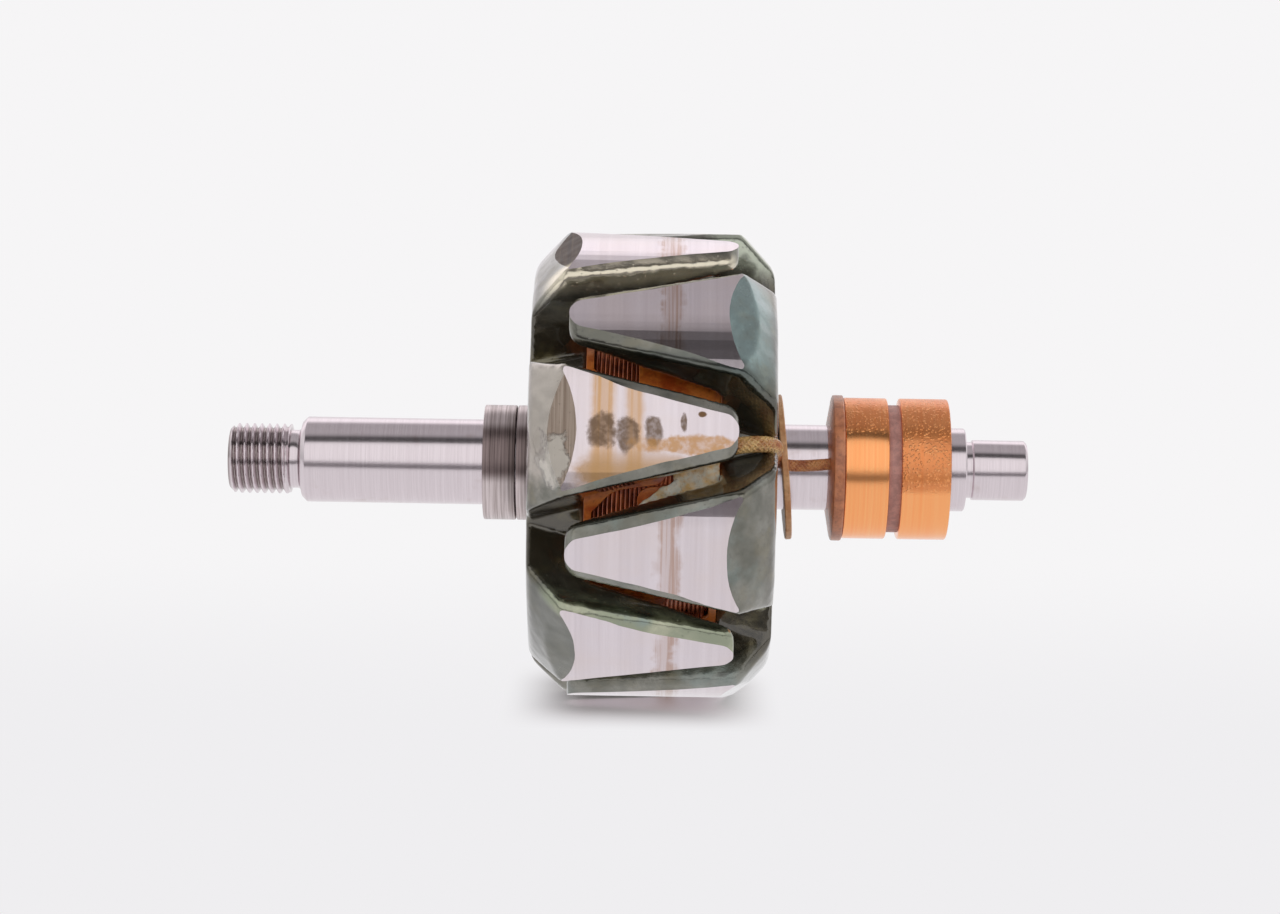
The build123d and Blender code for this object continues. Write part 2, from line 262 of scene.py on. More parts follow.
def use_group(tree, group, point, **values):
    """A group placed in a material, with its own values. Underscores stand for spaces."""
    node = add_node(tree, "ShaderNodeGroup", node_tree=group)
    feed(tree, node.inputs["Point"], point)
    for label, value in values.items():
        feed(tree, node.inputs[label.replace("_", " ")], value)
    return node.outputs


# %% [markdown]
# Every effect on a rotor is easiest to place by its distance along the shaft, its angle round the
# shaft and its distance from the axis, so the first group turns a point into those three numbers.

# %% Round the shaft
round_shaft, given, result = start_group("round the shaft", {}, ["Along", "Angle", "Radius"])
parts = add_node(round_shaft, "ShaderNodeSeparateXYZ")
feed(round_shaft, parts.inputs[0], given["Point"])
front = times(round_shaft, parts.outputs["Y"], -1.0)
down = times(round_shaft, parts.outputs["Z"], -1.0)
turn = maths(round_shaft, "ARCTAN2", down, front)
feed(round_shaft, result["Angle"], times(round_shaft, turn, 180 / math.pi))
feed(round_shaft, result["Along"], parts.outputs["X"])
front_square = maths(round_shaft, "POWER", front, 2.0)
squares = plus(round_shaft, front_square, maths(round_shaft, "POWER", down, 2.0))
feed(round_shaft, result["Radius"], maths(round_shaft, "SQRT", squares))

# %% Lathe lines
lathe_lines, given, result = start_group("lathe lines", {"Lines per mm": 4.0}, ["Lines"])
stretch = add_node(lathe_lines, "ShaderNodeVectorMath", operation="MULTIPLY")
feed(lathe_lines, stretch.inputs[0], given["Point"])
stretch.inputs[1].default_value = (1.0, 0.012, 0.012)
fine = noise(lathe_lines, stretch.outputs[0], given["Lines per mm"], 4.0, 0.7)
feed(lathe_lines, result["Lines"], fine)

# %% Ragged patches
patches, given, result = start_group(
    "ragged patches", {"Scale": 0.2, "Amount": 0.5, "Softness": 0.08, "Seed": 0.0}, ["Mask", "Cloud"]
)
shift = add_node(patches, "ShaderNodeVectorMath", operation="ADD")
feed(patches, shift.inputs[0], given["Point"])
seeds = add_node(patches, "ShaderNodeCombineXYZ")
for axis in range(3):
    feed(patches, seeds.inputs[axis], times(patches, given["Seed"], 17.3 + 11.1 * axis))
feed(patches, shift.inputs[1], seeds.outputs[0])
cloud = noise(patches, shift.outputs[0], given["Scale"], 5.0, 0.6)
edge = inverse(patches, given["Amount"])
low_edge = minus(patches, edge, given["Softness"])
high_edge = plus(patches, edge, given["Softness"])
feed(patches, result["Mask"], fade(patches, cloud, low_edge, high_edge))
feed(patches, result["Cloud"], cloud)

# %% Bands round the rotor
band, given, result = start_group(
    "band", {"Place": 30.0, "Width": 4.0, "Ragged": 2.0, "Seed": 0.0}, ["Mask"]
)
where = use_group(band, round_shaft, given["Point"])
rag = use_group(band, patches, given["Point"], Scale=0.25, Amount=0.5, Seed=given["Seed"])["Cloud"]
moved = times(band, minus(band, rag, 0.5), given["Ragged"])
distance = apart(band, plus(band, where["Along"], moved), given["Place"])
share = maths(band, "DIVIDE", distance, given["Width"])
feed(band, result["Mask"], inverse(band, fade(band, share, 0.2, 0.6)))

# %% Spots at a place
spot, given, result = start_group(
    "spot",
    {"Along": 20.0, "Angle": 0.0, "Length": 4.0, "Spread": 4.0, "Ragged": 1.0, "Seed": 0.0},
    ["Mask"],
)
where = use_group(spot, round_shaft, given["Point"])
rag = use_group(spot, patches, given["Point"], Scale=0.35, Amount=0.5, Seed=given["Seed"])["Cloud"]
along = maths(spot, "DIVIDE", minus(spot, where["Along"], given["Along"]), given["Length"])
angle = maths(spot, "DIVIDE", minus(spot, where["Angle"], given["Angle"]), given["Spread"])
squares = plus(spot, maths(spot, "POWER", along, 2.0), maths(spot, "POWER", angle, 2.0))
reach = maths(spot, "SQRT", squares)
rough_reach = plus(spot, reach, times(spot, minus(spot, rag, 0.5), given["Ragged"]))
feed(spot, result["Mask"], inverse(spot, fade(spot, rough_reach, 0.7, 1.1)))
print("shared effects:", [g.name for g in bpy.data.node_groups])

# %% [markdown]
# ## Starting a finish
#
# Every finish starts the same way: a Principled shader, and the point of the surface in
# millimetres. The point is read in Object coordinates, so a pattern stays on its piece from every
# side. Marks could be cut into the mesh, but they are finer than its faces. So their height goes
# through a Bump node into the shader's normal.

# %% Material helpers
def new_material(name):
    """A material with its node tree and its Principled shader."""
    material = bpy.data.materials.new(name)
    material.use_nodes = True
    return material, material.node_tree, material.node_tree.nodes["Principled BSDF"]


def start_finish(name):
    """A material with its tree and shader, and the point on the surface in millimetres."""
    material, tree, shader = new_material(name)
    place = add_node(tree, "ShaderNodeTexCoord")
    scale = add_node(tree, "ShaderNodeVectorMath", operation="SCALE")
    feed(tree, scale.inputs[0], place.outputs["Object"])
    scale.inputs["Scale"].default_value = 1 / MM
    return material, tree, shader, scale.outputs[0]


def add_bump(tree, shader, height, depth):
    """Feeds a height, in parts of a depth in millimetres, into the shader's normal."""
    bump = add_node(tree, "ShaderNodeBump")
    bump.inputs["Strength"].default_value = 1.0
    bump.inputs["Distance"].default_value = depth * MM
    feed(tree, bump.inputs["Height"], height)
    feed(tree, shader.inputs["Normal"], bump.outputs["Normal"])


# %% [markdown]
# ## Marks on a surface
#
# A worn finish could be painted by hand on an image, but an image has a limit to its detail and
# has to be laid over every claw. Here it is painted in layers instead. Each layer is a colour that
# shows where a mask says. These helpers place one of the shared effects and give back its mask, so
# a finish reads like a list.

# %% Masks and layers
def lines_mask(tree, point, lines_per_mm):
    """Fine lines round the shaft."""
    return use_group(tree, lathe_lines, point, Lines_per_mm=lines_per_mm)["Lines"]


def patch_mask(tree, point, scale, amount, softness, seed):
    """Ragged patches all over."""
    values = {"Scale": scale, "Amount": amount, "Softness": softness, "Seed": seed}
    return use_group(tree, patches, point, **values)["Mask"]


def band_mask(tree, point, place, width, ragged, seed):
    """A band round the rotor, placed in millimetres along the shaft."""
    return use_group(tree, band, point, Place=place, Width=width, Ragged=ragged, Seed=seed)["Mask"]


def spot_mask(tree, point, along, angle, length, spread, ragged, seed):
    """A spot, placed in millimetres along the shaft and degrees below the front."""
    values = {"Along": along, "Angle": angle, "Length": length, "Spread": spread, "Ragged": ragged}
    return use_group(tree, spot, point, Seed=seed, **values)["Mask"]


def layer(tree, under, mask, strength, over):
    """A colour laid over another where a mask says, at some strength."""
    return mix_colours(tree, times(tree, mask, strength), under, over)


# %% [markdown]
# ## Claw tops
#
# A pole half is forged, fitted on the coil, soaked in varnish and then turned on a lathe. Its claws
# have bare steel tops with fine lines round them and brown stains where damp stood. The front claw
# is the rustiest: it has two golden bands, a wash of brown at its lower edge, and dark spots.
# Noise alone would give stains of the right kind in the wrong places. So each stain on the front
# claw is a band or a spot with its own place and size, and noise only makes its edge ragged.

# %% Colours of bare and rusty steel
FRONT_CLAW = -15.0
TOP_CLAW = -75.0
STEEL_DARK = paint(216, 206, 211)
STEEL_LIGHT = paint(227, 218, 223)
STEEL_CLOUD = paint(222, 206, 200)
RUST = paint(164, 120, 86)
DARK_RUST = paint(112, 86, 62)
GOLDEN_STAIN = paint(198, 154, 102)
BROWN_WASH = paint(186, 146, 98)
GOLDEN_TRAIL = paint(186, 138, 80)
STEEL_METALLIC = 0.96
RUST_METALLIC = 0.35
# Each spot has a place along the shaft, an angle, a length and a spread.
RUST_SPOTS = [
    (24.0, -14.8, 3.0, 4.6),
    (28.8, -14.0, 2.5, 4.2),
    (33.6, -14.6, 1.7, 4.0),
    (39.3, -16.8, 0.7, 2.4),
]


# %% Rust on the front claw
def rust_front_claw(tree, point, angle, on_front, streaks, colour):
    """Lays the front claw's stains over a colour. Gives back the colour and where the steel is dull."""
    left = band_mask(tree, point, 24.2, 5.0, 1.5, 3.0)
    right = band_mask(tree, point, 30.2, 4.0, 1.5, 4.0)
    golden = times(tree, larger(tree, left, times(tree, right, 0.85)), on_front)
    golden = times(tree, golden, plus(tree, times(tree, streaks, 0.3), 0.62))
    colour = mix_colours(tree, golden, colour, GOLDEN_STAIN)
    wash = spot_mask(tree, point, 30.0, -5.0, 12.5, 6.8, 0.6, 9.0)
    wash = times(tree, wash, fade(tree, angle, -12.5, -5.5))
    colour = layer(tree, colour, wash, 0.85, BROWN_WASH)
    spots = 0.0
    for number, place in enumerate(RUST_SPOTS):
        spots = larger(tree, spots, spot_mask(tree, point, *place, 1.3, 5.0 + number))
    grain = patch_mask(tree, point, 0.7, 0.56, 0.16, 7.0)
    rusty = times(tree, spots, plus(tree, times(tree, grain, 0.35), 0.55))
    colour = mix_colours(tree, rusty, colour, DARK_RUST)
    trail = spot_mask(tree, point, 41.5, -11.6, 12.0, 2.4, 1.4, 18.0)
    trail = times(tree, trail, plus(tree, times(tree, grain, 0.4), 0.45))
    colour = mix_colours(tree, trail, colour, GOLDEN_TRAIL)
    fleck = spot_mask(tree, point, 42.7, -18.8, 0.9, 0.8, 0.8, 10.0)
    colour = mix_colours(tree, fleck, colour, DARK_RUST)
    return colour, larger(tree, rusty, times(tree, wash, 0.4))


# %% Turned steel of the claws
def make_claw_finish(name, seed, front_claw):
    """Bare steel with lathe lines and a stained band. The front claw is rusty in places too."""
    material, tree, shader, point = start_finish(name)
    angle = use_group(tree, round_shaft, point)["Angle"]
    lines = lines_mask(tree, point, 3.0)
    broad = fade(tree, lines_mask(tree, point, 0.6), 0.25, 0.75)
    streaks = fade(tree, lines_mask(tree, point, 1.4), 0.42, 0.62)
    colour = mix_colours(tree, broad, STEEL_DARK, STEEL_LIGHT)
    cloud = patch_mask(tree, point, 0.09, 0.5, 0.2, seed)
    colour = layer(tree, colour, cloud, 0.35, STEEL_CLOUD)
    stain = band_mask(tree, point, 36.8, 4.8, 6.0, seed + 1)
    stain = times(tree, stain, plus(tree, times(tree, streaks, 0.4), 0.22))
    if front_claw:
        off_front = fade(tree, apart(tree, angle, FRONT_CLAW), 18.0, 22.0)
        colour = mix_colours(tree, times(tree, stain, off_front), colour, RUST)
        on_front = inverse(tree, off_front)
        colour, dull = rust_front_claw(tree, point, angle, on_front, streaks, colour)
        metallic = mix_numbers(tree, dull, STEEL_METALLIC, RUST_METALLIC)
        feed(tree, shader.inputs["Metallic"], metallic)
    else:
        colour = mix_colours(tree, stain, colour, RUST)
        shader.inputs["Metallic"].default_value = STEEL_METALLIC
    feed(tree, shader.inputs["Base Color"], colour)
    feed(tree, shader.inputs["Roughness"], mix_numbers(tree, lines, 0.1, 0.17))
    add_bump(tree, shader, lines, 0.002)
    return material


# %% Finish the tops of both halves
drive_end_tops = make_claw_finish("claw_tops_drive_end", 1.0, True)
ring_end_tops = make_claw_finish("claw_tops_ring_end", 9.0, False)
print("claw tops:", len(drive_end_tops.node_tree.nodes), "nodes")

# %% [markdown]
# ## Varnish of the forgings
#
# Away from the claw tops the forgings keep a dark glossy varnish. It is thick and nearly black in
# the valleys, where it ran together, and thin and silvery on the shoulders and bevels, with teal
# patches here and there. Where varnish runs thin could be read from how sharp an edge is, but on a
# rotor it goes by the distance from the axis, which is simpler and holds at every resolution. So
# the first thing to find out is how far a point is from the axis, made uneven by a cloud.

# %% Thick and thin varnish
OLIVE = paint(120, 108, 70)
TEAL = paint(138, 166, 166)
PIT = paint(46, 38, 28)


def lay_varnish(tree, point, radius, cloud, seed, teal_amount, teal_shoulder):
    """The varnish's colour, how metallic it looks, and the teal patches. A shoulder may be all teal."""
    teal = patch_mask(tree, point, 0.06, teal_amount, 0.1, seed + 4)
    olive = patch_mask(tree, point, 0.16, 0.42, 0.1, seed + 5)
    pits = patch_mask(tree, point, 1.5, 0.36, 0.05, seed + 6)
    thin = fade(tree, radius, 37.0, 44.0)
    thick_colour = mix_colours(tree, olive, paint(78, 72, 58), paint(112, 104, 74))
    thin_colour = mix_colours(tree, cloud, paint(92, 92, 80), paint(146, 144, 134))
    if teal_shoulder:
        shoulder = spot_mask(tree, point, 54.0, -44.0, 11.0, 19.0, 0.6, 16.0)
        teal = larger(tree, times(tree, teal, 0.4), shoulder)
    thin_colour = layer(tree, thin_colour, teal, 0.75, TEAL)
    thin_colour = layer(tree, thin_colour, olive, 0.25, OLIVE)
    colour = mix_colours(tree, thin, thick_colour, thin_colour)
    colour = layer(tree, colour, pits, 0.3, PIT)
    return colour, mix_numbers(tree, thin, 0.6, 0.88), teal


# %% A facet that the lathe just touched
LENS_PLACE = 16.8
LENS_HALF_ANGLE = 13.5
LENS_HALF_WIDTH = 2.9


def lens_mask(tree, where, uneven, angle):
    """A lens where the lathe grazed the slope of a claw, with an uneven edge."""
    across = maths(tree, "DIVIDE", minus(tree, where["Angle"], angle), LENS_HALF_ANGLE)
    bow = inverse(tree, maths(tree, "POWER", across, 2.0))
    reach = plus(tree, times(tree, bow, LENS_HALF_WIDTH), times(tree, uneven, 0.12))
    aside = apart(tree, where["Along"], LENS_PLACE)
    return fade(tree, minus(tree, reach, aside), -0.08, 0.08)


# %% A strip along a bevel
def bevel_strip(tree, where, start, slope):
    """A mask along one claw's bevel, which starts at an angle and climbs by so much a millimetre."""
    centre = plus(tree, times(tree, where["Along"], slope), start)
    near = inverse(tree, fade(tree, apart(tree, where["Angle"], centre), 4.0, 7.0))
    return times(tree, near, fade(tree, where["Radius"], 41.0, 44.0))


# %% Marks on the drive end's half
# Each lens has an angle, a dark and a light colour, and says whether it is a dull one.
LENSES = [
    (FRONT_CLAW + 0.5, (140, 122, 108), (190, 174, 160), False),
    (TOP_CLAW, (64, 48, 38), (100, 80, 64), True),
]


def mark_drive_end(tree, point, where, uneven, cloud, teal, colour, metal):
    """Turned lenses, painted highlights and a spot of painted shade on shoulders, and two pale bevels.
    Also gives where varnish is gone.
    """
    bare = 0.0
    for angle, dark, light, dull in LENSES:
        lens = lens_mask(tree, where, uneven, angle)
        lines = fade(tree, lines_mask(tree, point, 2.0), 0.3, 0.7)
        colour = mix_colours(tree, lens, colour, mix_colours(tree, lines, paint(*dark), paint(*light)))
        bare = larger(tree, bare, lens)
        if dull:
            metal = mix_numbers(tree, lens, metal, 0.05)
    # A painted highlight: a pale patch on the upper part of the front claw's shoulder, where light
    # catches it.
    bright = spot_mask(tree, point, 12.0, -20.0, 8.0, 20.0, 0.5, 14.0)
    bright = times(tree, bright, inverse(tree, bare))
    bright = times(tree, bright, fade(tree, plus(tree, where["Radius"], uneven), 36.5, 41.0))
    colour = layer(tree, colour, bright, 0.8, paint(196, 186, 176))
    # A painted highlight on the front claw's shoulder, next to the lens. Its lumps are real bumps, added
    # to the height further down.
    lumpy_highlight = spot_mask(tree, point, 15.2, -7.5, 3.2, 6.5, 1.8, 24.0)
    colour = layer(tree, colour, lumpy_highlight, 0.85, paint(206, 200, 190))
    upper = bevel_strip(tree, where, -53.9, -0.22)
    colour = layer(tree, colour, upper, 0.85, paint(236, 226, 202))
    shade = spot_mask(tree, point, 12.0, 44.0, 9.0, 22.0, 0.6, 23.0)
    colour = layer(tree, colour, shade, 0.6, paint(70, 74, 64))
    lower = bevel_strip(tree, where, 18.6, 0.45)
    lower_colour = mix_colours(tree, cloud, paint(150, 158, 132), paint(206, 206, 176))
    lower_colour = mix_colours(tree, teal, lower_colour, paint(120, 146, 158))
    colour = layer(tree, colour, lower, 0.8, lower_colour)
    metal = larger(tree, metal, times(tree, larger(tree, upper, lower), 0.97))
    return colour, metal, bare, lumpy_highlight


# %% Marks on the ring end's half
def mark_ring_end(tree, point, where, colour):
    """A shaded claw, a pale shoulder and a thick drop of varnish."""
    shade = spot_mask(tree, point, 38.0, -27.0, 20.0, 9.0, 0.6, 20.0)
    colour = layer(tree, colour, shade, 0.75, paint(64, 72, 64))
    pale = spot_mask(tree, point, 53.0, -101.0, 11.0, 22.0, 0.6, 21.0)
    pale = times(tree, pale, fade(tree, where["Radius"], 36.0, 41.0))
    colour = layer(tree, colour, pale, 0.75, paint(196, 204, 184))
    drop = spot_mask(tree, point, 54.4, 47.5, 2.4, 3.2, 0.5, 17.0)
    return layer(tree, colour, drop, 0.8, paint(206, 206, 180))


# %% Lumps in the varnish
def varnish_height(tree, point):
    """Broad lumps, a fine grain and small beads, in millimetres."""
    cells = add_node(tree, "ShaderNodeTexVoronoi", feature="F1")
    feed(tree, cells.inputs["Vector"], point)
    cells.inputs["Scale"].default_value = 0.8
    beads = inverse(tree, fade(tree, cells.outputs["Distance"], 0.05, 0.14))
    lumps = noise(tree, point, 0.22, 1.0, 0.5)
    grain = noise(tree, point, 1.4, 2.0, 0.5)
    height = plus(tree, times(tree, lumps, 0.6), times(tree, grain, 0.035))
    return plus(tree, height, times(tree, beads, 0.1))


# %% Finish of the forgings
def make_forging_finish(name, seed, teal_amount, drive_end):
    """Dark varnish on forged steel, with the marks of one of the two pole halves."""
    material, tree, shader, point = start_finish(name)
    where = use_group(tree, round_shaft, point)
    cloud = use_group(tree, patches, point, Scale=0.1, Amount=0.45, Softness=0.18, Seed=seed + 3)
    uneven = times(tree, minus(tree, cloud["Cloud"], 0.5), 9.0)
    radius = plus(tree, where["Radius"], uneven)
    colour, metal, teal = lay_varnish(
        tree, point, radius, cloud["Mask"], seed, teal_amount, teal_shoulder=not drive_end
    )
    height = varnish_height(tree, point)
    roughness = mix_numbers(tree, cloud["Cloud"], 0.1, 0.36)
    if drive_end:
        colour, metal, bare, lumpy_highlight = mark_drive_end(
            tree, point, where, uneven, cloud["Mask"], teal, colour, metal
        )
        roughness = mix_numbers(tree, bare, roughness, 0.5)
        feed(tree, shader.inputs["Coat Weight"], inverse(tree, bare))
        chip = spot_mask(tree, point, 12.4, -12.5, 1.3, 3.2, 2.0, 22.0)
        height = minus(tree, height, times(tree, chip, 0.45))
        height = plus(tree, height, times(tree, lumpy_highlight, 0.5))
    else:
        colour = mark_ring_end(tree, point, where, colour)
        shader.inputs["Coat Weight"].default_value = 1.0
        drip = spot_mask(tree, point, 54.4, 47.5, 2.2, 3.0, 0.4, 17.0)
        height = plus(tree, height, times(tree, drip, 0.5))
    feed(tree, shader.inputs["Base Color"], colour)
    feed(tree, shader.inputs["Metallic"], metal)
    feed(tree, shader.inputs["Roughness"], roughness)
    shader.inputs["Coat Roughness"].default_value = 0.03
    shader.inputs["Coat IOR"].default_value = 1.65
    add_bump(tree, shader, height, 1.0)
    return material


# %% Varnish both halves
drive_end_varnish = make_forging_finish("varnish_drive_end", 1.0, 0.3, True)
ring_end_varnish = make_forging_finish("varnish_ring_end", 9.0, 0.4, False)
print("varnish:", len(drive_end_varnish.node_tree.nodes), "nodes")

# %% [markdown]
# ## Ground and turned steel of the shaft
#
# The journals are ground, so they mirror the studio in soft bands with hair-fine lines round them.
# The collar and the ring beside it are only turned, so their lines are coarser and darker. The
# Anisotropic input could stretch the reflections round the shaft without any line. But the lines
# show in the photograph, so they are made as colour, roughness and a very shallow bump.

# %% Shaft finishes
JOURNAL_STAIN = paint(176, 152, 140)
THREAD_GROOVE_DARK = paint(104, 88, 78)
FILM_DARK = paint(84, 70, 68)
FILM_LIGHT = paint(134, 116, 114)


def make_shaft_finish(name, dark, light, density, roughness, depth, line_strength, film):
    """Bare steel with lines round it. The film is a dull brown layer on the front, from 0 to 1."""
    material, tree, shader, point = start_finish(name)
    where = use_group(tree, round_shaft, point)
    lines = lines_mask(tree, point, density)
    colour = mix_colours(tree, fade(tree, lines, 0.3, 0.7), dark, light)
    stain = patch_mask(tree, point, 0.22, 0.33, 0.12, density)
    colour = layer(tree, colour, stain, 0.25, JOURNAL_STAIN)
    # The thread's grooves are darker.
    low = inverse(tree, fade(tree, where["Radius"], 5.9, 6.75))
    in_thread = inverse(tree, fade(tree, where["Along"], -38.9, -38.3))
    colour = layer(tree, colour, times(tree, low, in_thread), 0.75, THREAD_GROOVE_DARK)
    if film:
        front = inverse(tree, fade(tree, apart(tree, where["Angle"], -18.0), 20.0, 34.0))
        dull = times(tree, front, film)
        film_colour = mix_colours(tree, fade(tree, lines, 0.35, 0.6), FILM_DARK, FILM_LIGHT)
        colour = mix_colours(tree, dull, colour, film_colour)
        feed(tree, shader.inputs["Metallic"], mix_numbers(tree, dull, 1.0, 0.7))
    else:
        shader.inputs["Metallic"].default_value = 1.0
    feed(tree, shader.inputs["Base Color"], colour)
    feed(tree, shader.inputs["Roughness"], plus(tree, times(tree, lines, line_strength), roughness))
    add_bump(tree, shader, lines, depth)
    return material


# %% Ground and turned steel
ground_steel = make_shaft_finish(
    "ground_steel", paint(216, 205, 209), paint(226, 216, 220),
    density=5.0, roughness=0.15, depth=0.0012, line_strength=0.08, film=0.0,
)
collar_steel = make_shaft_finish(
    "turned_collar", paint(160, 146, 144), paint(228, 216, 216),
    density=3.2, roughness=0.2, depth=0.02, line_strength=0.25, film=0.9,
)
print("shaft finishes:", ground_steel.name, collar_steel.name)

# %% [markdown]
# ## Copper slip rings
#
# The rings are copper under a thin film of varnish. The film has drawn together in tiny droplets,
# which give the upper half a mottled look, and fine lines run round from the lathe. Droplets could
# be real small domes on the mesh, but there are thousands, so a Voronoi pattern in the bump and in
# the colour stands for them.

# %% Ring copper
COPPER_DARK = paint(255, 166, 100)
COPPER_LIGHT = paint(255, 184, 122)
AMBER = paint(214, 112, 56)
DROPLET_EDGE = 4.0


def make_copper(name, droplets_from, droplets_to, seed):
    """Bright copper under a clear film, with droplets between two angles round the shaft."""
    material, tree, shader, point = start_finish(name)
    angle = use_group(tree, round_shaft, point)["Angle"]
    lines = lines_mask(tree, point, 1.8)
    cells = add_node(tree, "ShaderNodeTexVoronoi", feature="SMOOTH_F1")
    feed(tree, cells.inputs["Vector"], point)
    cells.inputs["Scale"].default_value = 1.9
    size = mix_numbers(tree, noise(tree, point, 0.9), 0.25, 0.6)
    domes = inverse(tree, fade(tree, cells.outputs["Distance"], 0.08, size))
    cloud = patch_mask(tree, point, 0.14, 0.6, 0.2, seed)
    above = fade(tree, angle, droplets_from - DROPLET_EDGE, droplets_from + DROPLET_EDGE)
    below = inverse(tree, fade(tree, angle, droplets_to - DROPLET_EDGE, droplets_to + DROPLET_EDGE))
    zone = times(tree, times(tree, above, below), plus(tree, times(tree, cloud, 0.6), 0.4))
    colour = mix_colours(tree, fade(tree, lines, 0.2, 0.85), COPPER_DARK, COPPER_LIGHT)
    colour = layer(tree, colour, times(tree, inverse(tree, domes), zone), 0.48, AMBER)
    feed(tree, shader.inputs["Base Color"], colour)
    shader.inputs["Metallic"].default_value = 1.0
    feed(tree, shader.inputs["Roughness"], mix_numbers(tree, zone, 0.22, 0.4))
    shader.inputs["Coat Weight"].default_value = 0.4
    shader.inputs["Coat Roughness"].default_value = 0.15
    height = plus(tree, times(tree, domes, zone), times(tree, lines, 0.03))
    add_bump(tree, shader, height, 0.11)
    return material


# %% Copper of both rings
inner_copper = make_copper("inner_ring_copper", -100.0, -38.0, 21.0)
outer_copper = make_copper("outer_ring_copper", -100.0, 12.0, 24.0)
print("copper:", inner_copper.name, outer_copper.name)

# %% [markdown]
# ## Varnished paper, enamelled wire, glass tape, board and moulding
#
# The soft parts of the coil are all soaked in the same amber varnish. Each could have a finish of
# its own, but they look alike in the same way, so they share one recipe: a cloudy colour under a
# clear coat, with a grain that differs from one to the next.

# %% Finishes under amber varnish
AMBER_SHADE = paint(30, 18, 10)
SOAKED_COAT_ROUGHNESS = 0.08


def make_soaked_finish(name, dark, light, scale, roughness, coat, depth, seed, metallic=0.0):
    """A cloudy finish between two colours, with a clear coat and a fine grain."""
    material, tree, shader, point = start_finish(name)
    cloud = use_group(tree, patches, point, Scale=scale, Amount=0.5, Softness=0.14, Seed=seed)
    colour = mix_colours(tree, cloud["Mask"], paint(*dark), paint(*light))
    specks = patch_mask(tree, point, scale * 5, 0.4, 0.06, seed + 1)
    shade = mix_colours(tree, 0.5, paint(*dark), AMBER_SHADE)
    feed(tree, shader.inputs["Base Color"], layer(tree, colour, specks, 0.3, shade))
    shader.inputs["Metallic"].default_value = metallic
    spread = mix_numbers(tree, cloud["Cloud"], roughness - 0.1, roughness + 0.1)
    feed(tree, shader.inputs["Roughness"], spread)
    shader.inputs["Coat Weight"].default_value = coat
    shader.inputs["Coat Roughness"].default_value = SOAKED_COAT_ROUGHNESS
    grain = noise(tree, point, scale * 6, 4.0, 0.6)
    height = plus(tree, times(tree, cloud["Cloud"], 0.6), times(tree, grain, 0.4))
    add_bump(tree, shader, height, depth)
    return material


# %% Paper, wire, board, moulding and tape
soaked_paper = make_soaked_finish(
    "varnished_paper", (190, 82, 28), (234, 134, 54),
    scale=0.3, roughness=0.36, coat=0.8, depth=0.15, seed=31.0,
)
enamelled_wire = make_soaked_finish(
    "enamelled_wire", (140, 64, 36), (206, 112, 66),
    scale=0.35, roughness=0.3, coat=0.9, depth=0.05, seed=33.0, metallic=0.75,
)
washer_board = make_soaked_finish(
    "washer_board", (214, 150, 98), (246, 194, 140),
    scale=0.35, roughness=0.55, coat=0.2, depth=0.12, seed=35.0,
)
flange_moulding = make_soaked_finish(
    "ring_moulding", (190, 114, 76), (230, 150, 104),
    scale=0.4, roughness=0.42, coat=0.4, depth=0.1, seed=37.0,
)
rib_moulding = make_soaked_finish(
    "rib_moulding", (184, 138, 130), (214, 164, 154),
    scale=0.5, roughness=0.55, coat=0.1, depth=0.1, seed=39.0,
)
glass_tape = make_soaked_finish(
    "glass_tape", (250, 206, 128), (255, 252, 236),
    scale=0.3, roughness=0.6, coat=0.2, depth=0.05, seed=41.0,
)
print("soaked finishes:", len(bpy.data.materials), "materials so far")

# %% [markdown]
# ## Woven sleeves
#
# The leads wear a woven sleeve that the varnish has turned golden brown. A weave could be drawn in
# the material, but the sleeve is seen from near by, where its outline is rough. So the strands
# themselves are modelled further down, and the finish only varies their colour along the lead.

# %% Sleeve finishes
sleeve_strands = make_soaked_finish(
    "sleeve_strands", (196, 134, 76), (244, 204, 134),
    scale=0.5, roughness=0.4, coat=0.7, depth=0.06, seed=43.0,
)
lead_cover = make_soaked_finish(
    "lead_cover", (176, 100, 58), (222, 158, 98),
    scale=0.5, roughness=0.45, coat=0.4, depth=0.08, seed=45.0,
)
print("sleeves:", sleeve_strands.name, lead_cover.name)

# %% Dress the nodes that keep their CAD shape
def dress(node, material):
    """Puts a finish into every material slot of a CAD node."""
    for slot in nodes[node].material_slots:
        slot.material = material


dress("bobbin_tube", soaked_paper)
dress("field_core", drive_end_varnish)
print("materials:", len(bpy.data.materials))

# %% [markdown]
# ## Making pieces
#
# A finished piece is an object at the origin with a plain mesh. Modifiers could stay live on it, but
# a plain mesh is the same in every program that opens it. A piece rides on the rotor's one body and
# may stand for CAD nodes.
# A draft is an object that only lives until its modifiers have been turned into such a mesh.

# %% Piece helpers
def new_piece(name, mesh, material, slot, *replaced):
    """An object for a finished mesh, riding on the rotor, in place of some CAD nodes."""
    piece = bpy.data.objects.new(name, mesh)
    bpy.context.scene.collection.objects.link(piece)
    if material:
        mesh.materials.clear()
        mesh.materials.append(material)
    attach(piece, "root")
    if replaced:
        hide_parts(*replaced)
    return piece


def new_draft(name, data):
    """An object that modifiers can work on for a while."""
    draft = bpy.data.objects.new(name, data)
    bpy.context.scene.collection.objects.link(draft)
    return draft


def baked_mesh(draft):
    """A plain mesh of a draft as its modifiers leave it. The draft is removed."""
    bpy.context.view_layer.update()
    shown = draft.evaluated_get(bpy.context.evaluated_depsgraph_get())
    mesh = bpy.data.meshes.new_from_object(shown)
    bpy.data.objects.remove(draft)
    return mesh


def push_by(draft, name, texture, strength, middle=0.5, direction="NORMAL"):
    """Pushes a draft's surface in and out by a texture."""
    push = draft.modifiers.new(name, "DISPLACE")
    push.texture = texture
    push.texture_coords = "LOCAL"
    push.direction = direction
    push.strength = strength
    push.mid_level = middle


